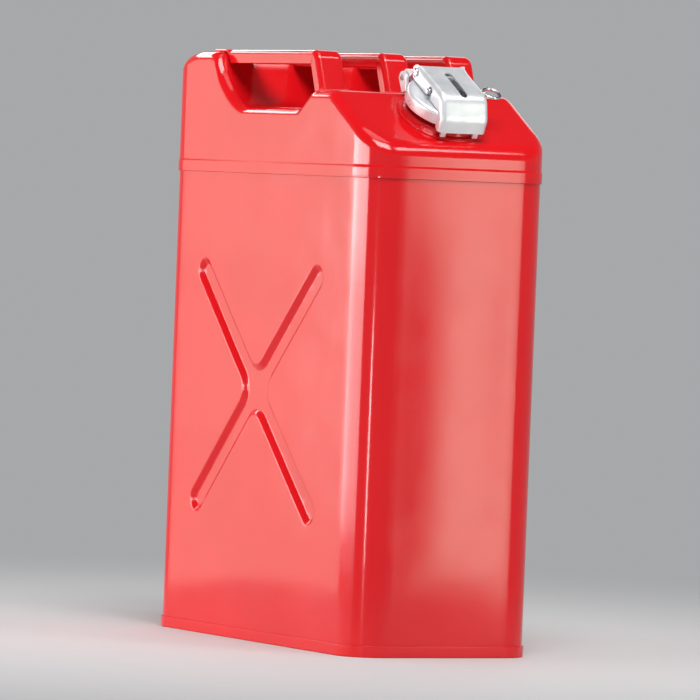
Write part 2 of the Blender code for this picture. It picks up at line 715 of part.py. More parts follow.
def build():
    neck = make_neck_frame()
    lid_axis, lid = moving_frame("lid", HINGE, neck)
    lever = moving_frame("lever", LEVER_PIVOT, lid)[1]
    slide = moving_frame("locking_pin", LOCK, lid)[1]
    bpy.context.view_layer.update()

    make_top_shell(neck)
    make_body_sleeve()
    make_base_pan()
    for label, side in (("left", -1), ("middle", 0), ("right", 1)):
        make_handle(f"handle_{label}", side * BAR_SPACING)

    make_filler_neck(neck)
    make_neck_collar(neck)
    make_hinge_ears(neck)
    make_latch_lugs(neck)
    make_breather_tube(neck)
    make_hinge_pin(neck)

    make_lid_disc(lid)
    make_lid_gasket(lid)
    make_lid_rivet(lid)
    make_lid_bridge(lid)
    make_lever_pin(lid)
    make_cam_lever(lever)
    make_locking_pin(slide)


build()
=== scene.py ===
"""Looks of the 20 litre steel jerry can: fine meshes, enamel, zinc plating and studio light.

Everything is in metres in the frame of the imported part: the can stands on z = 0, X is its
thickness and the closure faces -Y. A station is a distance from the can's back, along -Y.
"""
import json
from math import atan2, cos, hypot, pi, radians, sin, sqrt, tan

import bmesh
import bpy
from mathutils import Matrix, Vector, noise
from mathutils.geometry import delaunay_2d_cdt


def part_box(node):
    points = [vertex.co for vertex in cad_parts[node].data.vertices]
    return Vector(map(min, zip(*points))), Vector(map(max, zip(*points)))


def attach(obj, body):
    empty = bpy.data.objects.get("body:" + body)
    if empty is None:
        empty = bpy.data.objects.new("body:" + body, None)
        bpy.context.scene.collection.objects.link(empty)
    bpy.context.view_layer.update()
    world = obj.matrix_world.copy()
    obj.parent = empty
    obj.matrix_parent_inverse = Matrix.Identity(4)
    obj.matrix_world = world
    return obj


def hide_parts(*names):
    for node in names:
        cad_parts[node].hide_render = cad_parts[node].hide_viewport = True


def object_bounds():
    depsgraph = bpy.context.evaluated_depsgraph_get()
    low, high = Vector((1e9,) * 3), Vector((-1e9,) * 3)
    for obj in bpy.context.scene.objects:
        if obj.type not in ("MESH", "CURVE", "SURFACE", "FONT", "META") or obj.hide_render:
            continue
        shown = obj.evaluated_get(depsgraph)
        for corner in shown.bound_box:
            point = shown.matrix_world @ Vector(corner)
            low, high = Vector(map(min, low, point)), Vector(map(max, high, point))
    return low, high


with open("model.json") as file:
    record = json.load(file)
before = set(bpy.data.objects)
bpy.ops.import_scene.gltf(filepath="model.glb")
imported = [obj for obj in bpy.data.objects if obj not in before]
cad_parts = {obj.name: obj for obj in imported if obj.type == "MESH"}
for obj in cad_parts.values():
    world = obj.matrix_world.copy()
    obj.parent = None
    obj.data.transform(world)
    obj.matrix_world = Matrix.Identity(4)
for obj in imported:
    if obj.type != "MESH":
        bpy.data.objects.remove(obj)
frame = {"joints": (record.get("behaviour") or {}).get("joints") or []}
CAD_LOW, CAD_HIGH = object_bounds()

MM = 0.001

# Overall size, from the frame
PAN_LOW, PAN_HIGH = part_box("base_pan")
HEIGHT = CAD_HIGH.z - CAD_LOW.z
DEPTH = PAN_HIGH.y - PAN_LOW.y
THICKNESS = PAN_HIGH.x - PAN_LOW.x
CORNER_R = 28 * MM
SHEET = 0.9 * MM

# Pressed top
SKIRT_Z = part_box("top_shell")[0].z
LAP_TOP_Z = SKIRT_Z + 9 * MM
LAP_STEP = 0.6 * MM
TOP_EDGE_R = 9 * MM
HUMP_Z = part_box("top_shell")[1].z
HUMP_CORNER = (48 * MM, 32 * MM)
HUMP_END = 76 * MM
SCOOP_START = (84 * MM, HUMP_Z - 16 * MM)
DIP_Z = HUMP_Z - 43.5 * MM
DIP_START = 130 * MM
DIP_END = 220 * MM
BUMP_Z = HUMP_Z - 29.5 * MM
BUMP_START = 240 * MM
RAMP_START = 274 * MM

# Wrapped body and its pressed X
SLEEVE_INSET = 1.3 * MM
SLEEVE_Z = (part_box("body_sleeve")[0].z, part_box("body_sleeve")[1].z)
SIDE_CROWN = 0.9 * MM
END_CROWN = 0.8 * MM
CROSS_CENTRE = (5 * MM, 199.5 * MM)
CROSS_HALF = (101 * MM, 98 * MM)
CROSS_HALF_WIDTH = 9 * MM
CROSS_DEPTH = 3.6 * MM
CROSS_FILLET = 16 * MM
CROSS_EDGE = 2.2 * MM
CROSS_WALL = 6.4 * MM

# Rolled seam round the base
CHIME_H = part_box("base_pan")[1].z
PANEL_Z = 5.7 * MM
GAP = 0.3 * MM

# Carrying bars
BAR_WIDTH = 24 * MM
BAR_DEPTH = 11 * MM
BAR_SHEET = 1.6 * MM
BAR_EDGE_R = 4.6 * MM
TONGUE_START = 56 * MM
TONGUE_END = 76.5 * MM
FLARE_LENGTH = 7 * MM
FOOT_START = 227 * MM
FOOT_END = 239 * MM
FOOT_SLOPE = (BUMP_Z - DIP_Z) / (BUMP_START - DIP_END)

# Closure, in the ramp's own frame: s runs down the ramp, n stands out of it
HINGE = (-40 * MM, 12 * MM)
LEVER_PIVOT = (-22 * MM, 27.5 * MM)
LOCK = (5 * MM, 27 * MM)
MOUTH_R = 24 * MM
NECK_R = 25.5 * MM
LIP_R = 28.8 * MM
LIP_N = 14 * MM
COLLAR_R = 35 * MM
LID_R = 32.5 * MM
LID_TOP_N = 20.2 * MM
PIN_R = 2 * MM
BRIDGE_HALF = 17.5 * MM
EAR_SHEET = 2.5 * MM
LEVER_HALF = 21 * MM
LEVER_SHEET = 1.4 * MM
LEVER_ROUND = 4.2 * MM
SHOULDER_START = 1.3 * MM
HOLE_R = PIN_R + 0.3 * MM


def closure_matrix():
    """Frame of the closure, from the places of the lid's hinge and the lever's pivot."""
    places = {joint["name"]: Vector(joint["pos_m"]) for joint in frame["joints"] if "pos_m" in joint}
    across = places["lever_pivot"] - places["lid_hinge"]
    own_angle = atan2(LEVER_PIVOT[1] - HINGE[1], LEVER_PIVOT[0] - HINGE[0])
    tilt = own_angle - atan2(across.z, -across.y)
    turn = Matrix.Rotation(tilt, 4, "X")
    origin = places["lid_hinge"] - turn @ Vector((0, -HINGE[0], HINGE[1]))
    return Matrix.Translation(origin) @ turn, tilt


CLOSURE, RAMP_TILT = closure_matrix()


# Studio backdrop, shared by the world and the far floor
BACKDROP_COLOUR = (0.97, 0.98, 1.0, 1)
BACKDROP_STRENGTH = 0.40


# ---- materials

def new_material(name):
    """A material with its node tree, its shader and the place on the object."""
    material = bpy.data.materials.new(name)
    material.use_nodes = True
    tree = material.node_tree
    place = tree.nodes.new("ShaderNodeTexCoord").outputs["Object"]
    return material, tree, tree.nodes["Principled BSDF"], place


def add_node(tree, kind, **values):
    """A new node; its inputs are named with _ for each space."""
    node = tree.nodes.new(kind)
    for name, value in values.items():
        node.inputs[name.replace("_", " ")].default_value = value
    return node


def noise_texture(tree, place, scale, detail=4.0, roughness=0.5):
    texture = add_node(tree, "ShaderNodeTexNoise", Scale=scale, Detail=detail, Roughness=roughness)
    tree.links.new(place, texture.inputs["Vector"])
    return texture.outputs["Fac"]


def spread(tree, value, low, high, start=0.3, end=0.7, curve="LINEAR"):
    """Map a value from the range start to end onto the range low to high."""
    ramp = add_node(tree, "ShaderNodeMapRange", From_Min=start, From_Max=end, To_Min=low, To_Max=high)
    ramp.interpolation_type = curve
    tree.links.new(value, ramp.inputs["Value"])
    return ramp.outputs["Result"]


def paint(tree, shader, factor, first, second):
    """Colour the shader with a blend of two colours."""
    mix = tree.nodes.new("ShaderNodeMix")
    mix.data_type = "RGBA"
    mix.inputs[6].default_value = first
    mix.inputs[7].default_value = second
    tree.links.new(factor, mix.inputs["Factor"])
    tree.links.new(mix.outputs[2], shader.inputs["Base Color"])


def add_bumps(tree, shader, heights):
    """Stack bump nodes, each of (height, strength, distance), on the shader's normal."""
    normal = None
    for height, strength, distance in heights:
        bump = add_node(tree, "ShaderNodeBump", Strength=strength, Distance=distance)
        tree.links.new(height, bump.inputs["Height"])
        if normal:
            tree.links.new(normal, bump.inputs["Normal"])
        normal = bump.outputs["Normal"]
    tree.links.new(normal, shader.inputs["Normal"])


def enamel(name, deep=(0.65, 0.004, 0.008, 1), light=(0.71, 0.007, 0.011, 1), weld=False):
    """Glossy red enamel over steel: slight cloudiness, orange peel and a little dust."""
    material, tree, shader, place = new_material(name)
    cloud = noise_texture(tree, place, 9.0, 3.0)
    paint(tree, shader, spread(tree, cloud, 0, 1), deep, light)
    film = noise_texture(tree, place, 34.0, 6.0, 0.62)
    tree.links.new(spread(tree, film, 0.085, 0.15), shader.inputs["Roughness"])
    peel = noise_texture(tree, place, 420.0, 2.0)
    sag = noise_texture(tree, place, 26.0, 2.0)
    bumps = [(peel, 0.10, 0.0001), (sag, 0.12, 0.0006)]
    if weld:
        bumps.append((noise_texture(tree, place, 700.0, 3.0), 0.5, 0.0004))
    add_bumps(tree, shader, bumps)
    shader.inputs["IOR"].default_value = 1.5
    return material


def zinc_plate(name, tint=(0.93, 0.94, 0.97, 1), dull=(0.77, 0.78, 0.81, 1), rough=(0.26, 0.42),
               metal=0.55):
    """Bright zinc over pressed steel, with faint clouding and fine drawing marks."""
    material, tree, shader, place = new_material(name)
    shader.inputs["Metallic"].default_value = metal
    cloud = noise_texture(tree, place, 55.0, 5.0, 0.6)
    paint(tree, shader, spread(tree, cloud, 0, 1), tint, dull)
    grain = noise_texture(tree, place, 160.0, 4.0, 0.6)
    tree.links.new(spread(tree, grain, *rough), shader.inputs["Roughness"])
    stretch = tree.nodes.new("ShaderNodeMapping")
    stretch.inputs["Scale"].default_value = (6.0, 1.0, 1.0)
    tree.links.new(place, stretch.inputs["Vector"])
    marks = noise_texture(tree, stretch.outputs["Vector"], 420.0, 3.0)
    add_bumps(tree, shader, [(marks, 0.10, 0.0001), (cloud, 0.10, 0.0004)])
    return material


def black_rubber(name):
    """Moulded black rubber with a fine matt grain."""
    material, tree, shader, place = new_material(name)
    grain = noise_texture(tree, place, 800.0, 4.0)
    paint(tree, shader, grain, (0.012, 0.012, 0.013, 1), (0.03, 0.03, 0.03, 1))
    tree.links.new(spread(tree, grain, 0.5, 0.75), shader.inputs["Roughness"])
    add_bumps(tree, shader, [(grain, 0.3, 0.0002)])
    return material


def studio_paper(name):
    """Pale matt floor with a faint fibre, which far from the can takes the backdrop's brightness."""
    material, tree, shader, place = new_material(name)
    fibre = noise_texture(tree, place, 60.0, 6.0)
    paint(tree, shader, fibre, (0.60, 0.60, 0.61, 1), (0.63, 0.63, 0.64, 1))
    shader.inputs["Roughness"].default_value = 0.7
    shader.inputs["Specular IOR Level"].default_value = 0.2
    add_bumps(tree, shader, [(fibre, 0.1, 0.0003)])
    backdrop = add_node(tree, "ShaderNodeEmission", Color=BACKDROP_COLOUR, Strength=BACKDROP_STRENGTH)
    radius = tree.nodes.new("ShaderNodeVectorMath")
    radius.operation = "LENGTH"
    tree.links.new(place, radius.inputs[0])
    fade = spread(tree, radius.outputs["Value"], 0, 1, 0.20, 1.20, "SMOOTHSTEP")
    mix = tree.nodes.new("ShaderNodeMixShader")
    tree.links.new(fade, mix.inputs["Fac"])
    tree.links.new(shader.outputs["BSDF"], mix.inputs[1])
    tree.links.new(backdrop.outputs["Emission"], mix.inputs[2])
    tree.links.new(mix.outputs["Shader"], tree.nodes["Material Output"].inputs["Surface"])
    return material


BODY_PAINT = enamel("body_enamel")
TOP_PAINT = enamel("top_enamel")
BASE_PAINT = enamel("base_enamel")
BAR_PAINT = enamel("bar_enamel")
WELD_PAINT = enamel("weld_enamel", weld=True)
ZINC = zinc_plate("bright_zinc")
LEVER_ZINC = zinc_plate("lever_zinc", rough=(0.28, 0.42))
PIN_STEEL = zinc_plate("pin_steel", (0.74, 0.74, 0.76, 1), (0.60, 0.60, 0.61, 1), (0.18, 0.32), 1.0)
TUBE_STEEL = zinc_plate("tube_steel", (0.62, 0.62, 0.63, 1), (0.50, 0.50, 0.50, 1), (0.30, 0.45), 1.0)
RUBBER = black_rubber("gasket_rubber")
PAPER = studio_paper("studio_paper")


# ---- mesh tools

def linked(obj):
    bpy.context.scene.collection.objects.link(obj)
    return obj


def mesh_object(name, bm, matrix=None):
    """An object in the scene with a bmesh as its mesh."""
    if matrix:
        bm.transform(matrix)
    mesh = bpy.data.meshes.new(name)
    bm.to_mesh(mesh)
    bm.free()
    return linked(bpy.data.objects.new(name, mesh))


def crease(mesh):
    """Smooth shading with sharp edges where the faces meet at more than 38 degrees."""
    mesh.shade_smooth()
    mesh.set_sharp_from_angle(angle=radians(38))


def piece(name, bm, material, body, replaced=(), matrix=None):
    """Turn a bmesh into a named piece that rides on a body and stands for CAD nodes."""
    obj = mesh_object(name, bm, matrix)
    obj.data.materials.append(material)
    crease(obj.data)
    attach(obj, body)
    if replaced:
        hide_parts(*replaced)
    return obj


def outward(bm):
    """Point the faces of a closed bmesh out."""
    bmesh.ops.recalc_face_normals(bm, faces=bm.faces)
    if bm.calc_volume(signed=True) < 0:
        bmesh.ops.reverse_faces(bm, faces=bm.faces)
    return bm


def cut(obj, bm, operation="DIFFERENCE"):
    """Apply a Boolean with a closed bmesh made in the closure's frame, and remove that tool."""
    tool = mesh_object("cutter", bm, CLOSURE)
    modifier = obj.modifiers.new("cut", "BOOLEAN")
    modifier.operation = operation
    modifier.solver = "EXACT"
    modifier.object = tool
    apply_modifiers(obj)
    mesh = tool.data
    bpy.data.objects.remove(tool)
    bpy.data.meshes.remove(mesh)


def apply_modifiers(obj):
    bpy.context.view_layer.update()
    evaluated = obj.evaluated_get(bpy.context.evaluated_depsgraph_get())
    mesh = bpy.data.meshes.new_from_object(evaluated)
    old = obj.data
    obj.modifiers.clear()
    obj.data = mesh
    name = old.name
    bpy.data.meshes.remove(old)
    mesh.name = name


def close_slivers(obj):
    """Merge points a cut left almost together, and fill the pinholes that remain."""
    bm = bmesh.new()
    bm.from_mesh(obj.data)
    bmesh.ops.remove_doubles(bm, verts=bm.verts, dist=0.004 * MM)
    bmesh.ops.dissolve_degenerate(bm, dist=0.002 * MM, edges=bm.edges)
    rims = [edge for edge in bm.edges if len(edge.link_faces) == 1]
    bmesh.ops.holes_fill(bm, edges=rims, sides=6)
    bm.to_mesh(obj.data)
    bm.free()


def thicken(obj, thickness, even=True):
    """Give an open sheet its thickness, inwards."""
    skin = obj.modifiers.new("sheet", "SOLIDIFY")
    skin.thickness = thickness
    skin.offset = -1
    skin.use_even_offset = even
    skin.use_quality_normals = True
    apply_modifiers(obj)


def soften(obj, width, degrees=40):
    """Round the sharp edges and even out the shading of the flats."""
    bevel = obj.modifiers.new("soften", "BEVEL")
    bevel.width = width
    bevel.segments = 2
    bevel.limit_method = "ANGLE"
    bevel.angle_limit = radians(degrees)
    bevel.use_clamp_overlap = True
    bevel.harden_normals = False
    apply_modifiers(obj)
    crease(obj.data)
    even_shading(obj)


def even_shading(obj):
    weighted = obj.modifiers.new("even_shading", "WEIGHTED_NORMAL")
    weighted.keep_sharp = True
    weighted.weight = 60


def rounded_polygon(corners, steps=8):
    """Corner points (u, v, radius) to an outline whose corners are arcs."""
    outline = []
    count = len(corners)
    for index, (u, v, radius) in enumerate(corners):
        here = Vector((u, v))
        before = Vector(corners[index - 1][:2]) - here
        after = Vector(corners[(index + 1) % count][:2]) - here
        if radius <= 0:
            outline.append(tuple(here))
            continue
        half = before.angle(after) / 2
        tangent = radius / tan(half)
        middle = (before.normalized() + after.normalized()).normalized()
        centre = here + middle * (radius / sin(half))
        start = here + before.normalized() * tangent - centre
        turn = pi - 2 * half
        turn *= 1 if before.cross(after) < 0 else -1
        for step in range(steps + 1):
            outline.append(tuple(centre + Matrix.Rotation(turn * step / steps, 2) @ start))
    return outline


def arc(start, sweep, steps):
    """Values, mostly angles, from a start through a sweep in equal steps, both ends included."""
    return [start + sweep * step / steps for step in range(steps + 1)]


def polar(u, v, radius, angle):
    """The point (u, v) moved by a radius at an angle."""
    return u + radius * cos(angle), v + radius * sin(angle)


def in_mm(*corners):
    """Corners given in millimetres, in metres."""
    return [tuple(value * MM for value in corner) for corner in corners]


def sheet(bm, rows, flip=False):
    """Faces between the rows of a grid, apart from those that have shrunk to a line."""
    for first, second in zip(rows, rows[1:]):
        for corners in zip(first, first[1:], second[1:], second):
            if len({vertex.co.to_tuple(9) for vertex in corners}) > 2:
                bm.faces.new(corners[::-1] if flip else corners)


def strip(bm, first, second, flip=False):
    """Faces between two closed rows of as many points."""
    sheet(bm, (first + first[:1], second + second[:1]), flip)


def tube(bm, rows):
    """A skin through closed rows of points, with a flat face at either end."""
    for first, second in zip(rows, rows[1:]):
        strip(bm, first, second)
    bm.faces.new(rows[0])
    bm.faces.new(rows[-1])
    return outward(bm)


def prism(outline, low_x, high_x):
    """A side outline (s, n) extruded across X, in the closure's frame."""
    bm = bmesh.new()
    return tube(bm, [[bm.verts.new((x, -s, n)) for s, n in outline] for x in (low_x, high_x)])


def turned(profile, steps=96):
    """A closed profile (radius, height) turned about Z; points on the axis close the shape."""
    bm = bmesh.new()
    rows = []
    for step in range(steps):
        angle = 2 * pi * step / steps
        rows.append([bm.verts.new((radius * cos(angle), radius * sin(angle), height))
                     for radius, height in profile])
    count = len(profile)
    for step in range(steps):
        here, after = rows[step - 1], rows[step]
        for index in range(count):
            if profile[index - 1][0] > 0 or profile[index][0] > 0:
                bm.faces.new((here[index - 1], after[index - 1], after[index], here[index]))
    bmesh.ops.remove_doubles(bm, verts=bm.verts, dist=1e-7)
    bmesh.ops.dissolve_degenerate(bm, dist=1e-7, edges=bm.edges)
    return outward(bm)


def laid_across(bm, centre):
    """A bmesh made along Z, turned to lie along X at the closure point (s, n)."""
    bm.transform(Matrix.Rotation(radians(90), 4, "Y"))
    bm.transform(Matrix.Translation((0, -centre[0], centre[1])))
    return bm


def rod(radius, low, high, axis="Z", centre=(0, 0), steps=40, edge=0.35 * MM):
    """A round bar with eased rims along Z, or along X at the closure point (s, n)."""
    profile = [(0, low), (radius - edge, low), (radius, low + edge), (radius, high - edge),
               (radius - edge, high), (0, high)]
    bm = turned(profile, steps)
    return laid_across(bm, centre) if axis == "X" else bm


# ---- plan of the can

CORNER_STEPS = 12
COLUMNS = 16


class Plan:
    """Rounded plan of the can as rings of equal length, moved inwards by an inset."""

    def __init__(self, stations):
        self.stations = stations
        self.side = 2 * CORNER_STEPS + len(stations) + 1

    def ring(self, inset):
        """(x, y) once round, from the front's left end by the right side and the back."""
        centre_x = THICKNESS / 2 - CORNER_R
        centre_y = DEPTH / 2 - CORNER_R
        radius = CORNER_R - inset
        right = [polar(centre_x, -centre_y, radius, angle)
                 for angle in arc(-pi / 2, pi / 2, CORNER_STEPS)]
        right += [(centre_x + radius, DEPTH / 2 - station) for station in reversed(self.stations)]
        right += [polar(centre_x, centre_y, radius, angle) for angle in arc(0, pi / 2, CORNER_STEPS)]
        front = [(-centre_x + 2 * centre_x * column / COLUMNS, -centre_y - radius)
                 for column in range(COLUMNS)]
        back = [(x, -y) for x, y in reversed(front + [right[0]])][:-1]
        left = [(-x, y) for x, y in reversed(right)]
        return front + right + back[1:] + left[:-1]

    def cap(self, bm, ring, height_at, downwards=False):
        """Close a ring of vertices with a grid whose heights follow height_at(y)."""
        count = len(ring)
        rows = [ring[:COLUMNS + 1]]
        for index in range(1, self.side):
            left, right = ring[count - index], ring[COLUMNS + index]
            row = [left]
            for column in range(1, COLUMNS):
                x = left.co.x + (right.co.x - left.co.x) * column / COLUMNS
                row.append(bm.verts.new((x, right.co.y, height_at(right.co.y))))
            rows.append(row + [right])
        last = COLUMNS + self.side
        rows.append([ring[last + COLUMNS - column] for column in range(COLUMNS + 1)])
        sheet(bm, rows, downwards)


# ---- pressed top

def crown_line(station):
    """Height of the pressed top's crown at a distance from the back, before its corners are eased."""
    corner_length, corner_height = HUMP_CORNER
    if station < corner_length:
        across = (corner_length - max(station, 0)) / corner_length
        return HUMP_Z - corner_height + corner_height * sqrt(1 - across * across)
    if station < HUMP_END:
        return HUMP_Z
    scoop_station, scoop_z = SCOOP_START
    if station < scoop_station:
        return HUMP_Z + (scoop_z - HUMP_Z) * (station - HUMP_END) / (scoop_station - HUMP_END)
    if station < DIP_START:
        rest = 1 - (station - scoop_station) / (DIP_START - scoop_station)
        return DIP_Z + (scoop_z - DIP_Z) * rest ** 1.8
    if station < DIP_END:
        return DIP_Z
    if station < BUMP_START:
        return DIP_Z + (BUMP_Z - DIP_Z) * (station - DIP_END) / (BUMP_START - DIP_END)
    if station < RAMP_START:
        return BUMP_Z
    return BUMP_Z - (station - RAMP_START) * tan(RAMP_TILT)


def crown(station, ease=3.0 * MM):
    """The crown line with its corners eased, except on the rounded back corner."""
    if station < HUMP_CORNER[0]:
        return crown_line(station)
    samples = [crown_line(station + ease * k / 6) for k in range(-6, 7)]
    return sum(samples) / len(samples)


def crown_stations():
    """Stations along the long sides, close together where the crown bends."""
    stations = []
    station = CORNER_R + 3 * MM
    while station < DEPTH - CORNER_R - 2 * MM:
        stations.append(station)
        bend = abs(crown(station + 2 * MM) - 2 * crown(station) + crown(station - 2 * MM))
        curved = bend > 0.05 * MM or HUMP_END - 4 * MM < station < SCOOP_START[0]
        station += 1.6 * MM if curved else 4.5 * MM
    return stations


def make_top_shell():
    plan = Plan(crown_stations())
    bm = bmesh.new()
    foot = [(0.3 * MM, SKIRT_Z), (0, SKIRT_Z + 0.4 * MM), (0, SKIRT_Z + 3 * MM), (0, LAP_TOP_Z - 1.2 * MM)]
    joggle = [(LAP_STEP * (1 - cos(pi * k / 5)) / 2, LAP_TOP_Z - 0.8 * MM + 0.45 * MM * k)
              for k in range(6)]
    rings = []
    for inset, height in foot + joggle:
        rings.append([bm.verts.new((*place, height)) for place in plan.ring(inset)])
    wall_z = LAP_TOP_Z + 2.4 * MM
    plan_ring = plan.ring(LAP_STEP)
    for share in (0.0, 0.33, 0.66):
        rings.append([bm.verts.new((x, y, wall_z + share * (crown(DEPTH / 2 - y) - TOP_EDGE_R - wall_z)))
                      for x, y in plan_ring])
    for angle in arc(0, pi / 2, 9):
        inset = LAP_STEP + TOP_EDGE_R * (1 - cos(angle))
        drop = TOP_EDGE_R * (1 - sin(angle))
        rings.append([bm.verts.new((x, y, crown(DEPTH / 2 - y) - drop)) for x, y in plan.ring(inset)])
    for lower, upper in zip(rings, rings[1:]):
        strip(bm, lower, upper)
    plan.cap(bm, rings[-1], lambda y: crown(DEPTH / 2 - y))
    shell = piece("top_shell_pressing", bm, TOP_PAINT, "can", ["top_shell"])
    thicken(shell, SHEET)
    cut(shell, rod(NECK_R + 0.5 * MM, -30 * MM, 30 * MM, steps=96))
    even_shading(shell)


# ---- wrapped body

def cross_outline(half_width):
    """Outline of the pressed X: four arms with round ends, filleted where they meet."""
    end_steps, fillet_steps, arm_steps = 16, 12, 7
    arm_angle = atan2(CROSS_HALF[1], CROSS_HALF[0])
    reach = hypot(*CROSS_HALF) - CROSS_HALF_WIDTH
    arms = [arm_angle, pi - arm_angle, pi + arm_angle, 2 * pi - arm_angle]
    fillet = CROSS_FILLET + CROSS_HALF_WIDTH - half_width
    loops = []
    for index, arm in enumerate(arms):
        end = [Vector(polar(*polar(0, 0, reach, arm), half_width, angle))
               for angle in arc(arm - pi / 2, pi, end_steps)]
        following = arms[(index + 1) % 4] + (2 * pi if index == 3 else 0)
        centre_r = (half_width + fillet) / sin((following - arm) / 2)
        middle = (arm + following) / 2
        corner = [Vector(polar(*polar(0, 0, centre_r, middle), fillet, angle))
                  for angle in arc(arm + 1.5 * pi, following - arm - pi, fillet_steps)]
        loops += [end, corner]
    points = []
    for index, loop in enumerate(loops):
        points += loop
        following = loops[(index + 1) % len(loops)][0]
        points += [loop[-1].lerp(following, step / arm_steps) for step in range(1, arm_steps)]
    return points


def inside(point, outline):
    """True if a point lies inside a closed outline."""
    hit = False
    before = outline[-1]
    for after in outline:
        if (before.y > point.y) != (after.y > point.y):
            if point.x < before.x + (point.y - before.y) / (after.y - before.y) * (after.x - before.x):
                hit = not hit
        before = after
    return hit


def panel_crown(across, half, z, height):
    """Bulge of a panel that is flat at its edges and at the seams above and below."""
    low, high = CHIME_H + 2 * MM, SKIRT_Z - 4 * MM
    u = min(1, abs(across) / half)
    v = min(1, abs(z - (low + high) / 2) / ((high - low) / 2))
    return height * (1 - u * u) ** 2 * (1 - v ** 4) ** 2


def side_patch(bm, side, levels, stations):
    """One big face with its sunk X, as vertices (x, y, z) that join the corner strips."""
    half = DEPTH / 2 - CORNER_R
    face_x = THICKNESS / 2 - SLEEVE_INSET

    def vert(y, z, depth=0.0):
        x = face_x + panel_crown(y, half, z, SIDE_CROWN) - depth
        return bm.verts.new((side * x, y, z))

    centre = Vector(CROSS_CENTRE)
    wall_steps = 10
    rings = []
    outlines = []
    for step in range(wall_steps + 1):
        share = step / wall_steps
        half_width = CROSS_HALF_WIDTH + CROSS_EDGE - CROSS_WALL * share
        depth = CROSS_DEPTH * share * share * (3 - 2 * share)
        outline = [centre + point for point in cross_outline(half_width)]
        outlines.append(outline)
        rings.append([vert(point.x, point.y, depth) for point in outline])
    for outer, inner in zip(rings, rings[1:]):
        strip(bm, outer, inner, flip=side < 0)

    rim = [Vector((y, levels[0])) for y in stations[:-1]]
    rim += [Vector((stations[-1], z)) for z in levels[:-1]]
    rim += [Vector((y, levels[-1])) for y in reversed(stations[1:])]
    rim += [Vector((stations[0], z)) for z in reversed(levels[1:])]
    grid = [Vector((y, z)) for y in stations[1:-1] for z in levels[1:-1]]
    clear = 5.5 * MM
    for outline, ring, filled in ((outlines[0], rings[0], False), (outlines[-1], rings[-1], True)):
        spots = [spot for spot in grid if inside(spot, outline) == filled
                 and min((spot - point).length for point in outline) > (2.4 * MM if filled else clear)]
        points = outline + ([] if filled else rim) + spots
        edges = [(index, (index + 1) % len(outline)) for index in range(len(outline))]
        coords, _, faces, origins, _, _ = delaunay_2d_cdt(points, edges, [], 0, 1e-7)
        depth = CROSS_DEPTH if filled else 0.0
        made = {}
        for index, place in enumerate(coords):
            source = [origin for origin in origins[index] if origin < len(outline)]
            made[index] = ring[source[0]] if source else vert(place.x, place.y, depth)
        for face in faces:
            middle = sum((coords[index] for index in face), Vector((0, 0))) / len(face)
            if inside(middle, outline) == filled:
                bm.faces.new([made[index] for index in (face if side > 0 else face[::-1])])
        for vertex in [v for v in made.values() if not v.link_faces]:
            bm.verts.remove(vertex)


def make_body():
    low, high = SLEEVE_Z
    levels = arc(low, high - low, 42)
    half = DEPTH / 2 - CORNER_R
    stations = arc(-half, 2 * half, 32)
    bm = bmesh.new()
    centre_x = THICKNESS / 2 - CORNER_R
    radius = CORNER_R - SLEEVE_INSET

    def end_strip(facing):
        """Corner, narrow face and corner, at the front (-1) or the back (1)."""
        plan = [(*polar(centre_x, half, radius, angle), False) for angle in arc(0, pi / 2, CORNER_STEPS)]
        plan += [(centre_x - 2 * centre_x * column / COLUMNS, half + radius, True)
                 for column in range(1, COLUMNS)]
        plan += [(*polar(-centre_x, half, radius, angle), False)
                 for angle in arc(pi / 2, pi / 2, CORNER_STEPS)]
        grid = []
        for x, y, flat in plan:
            column = []
            for z in levels:
                bulge = panel_crown(x, centre_x, z, END_CROWN) if flat else 0
                column.append(bm.verts.new((x, facing * y + facing * bulge, z)))
            grid.append(column)
        sheet(bm, grid, flip=facing > 0)

    end_strip(-1)
    end_strip(1)
    for side in (-1, 1):
        side_patch(bm, side, levels, stations)
    bmesh.ops.remove_doubles(bm, verts=bm.verts, dist=0.02 * MM)
    sleeve = piece("body_wrapper", bm, BODY_PAINT, "can", ["body_sleeve"])
    thicken(sleeve, SHEET)
    even_shading(sleeve)


def make_rear_seam():
    """Flattened weld bead down the middle of the back, where the wrapped sheet meets."""
    back_y = DEPTH / 2 - SLEEVE_INSET
    bm = bmesh.new()
    across = 9
    low, high = CHIME_H + 0.5 * MM, SKIRT_Z - 0.3 * MM
    count = 160
    rows = []
    for row in range(count + 1):
        z = low + (high - low) * row / count
        wave = noise.noise(Vector((0.3, 0.7, z * 260)))
        half = 2.6 * MM + 0.25 * MM * wave
        proud = (0.42 + 0.08 * sin(z * 2 * pi / (3.1 * MM)) + 0.05 * wave) * MM
        line = []
        for step in range(across + 1):
            share = step / across * 2 - 1
            bulge = panel_crown(share * half, THICKNESS / 2 - CORNER_R, z, END_CROWN)
            y = back_y + bulge - 0.15 * MM + (proud + 0.15 * MM) * (1 - share * share) ** 0.6
            line.append(bm.verts.new((share * half, min(y, DEPTH / 2), z)))
        line += [bm.verts.new((x, back_y - 0.5 * MM, z)) for x in (half * 0.8, -half * 0.8)]
        rows.append(line)
    return piece("rear_seam_weld", tube(bm, rows), WELD_PAINT, "can")


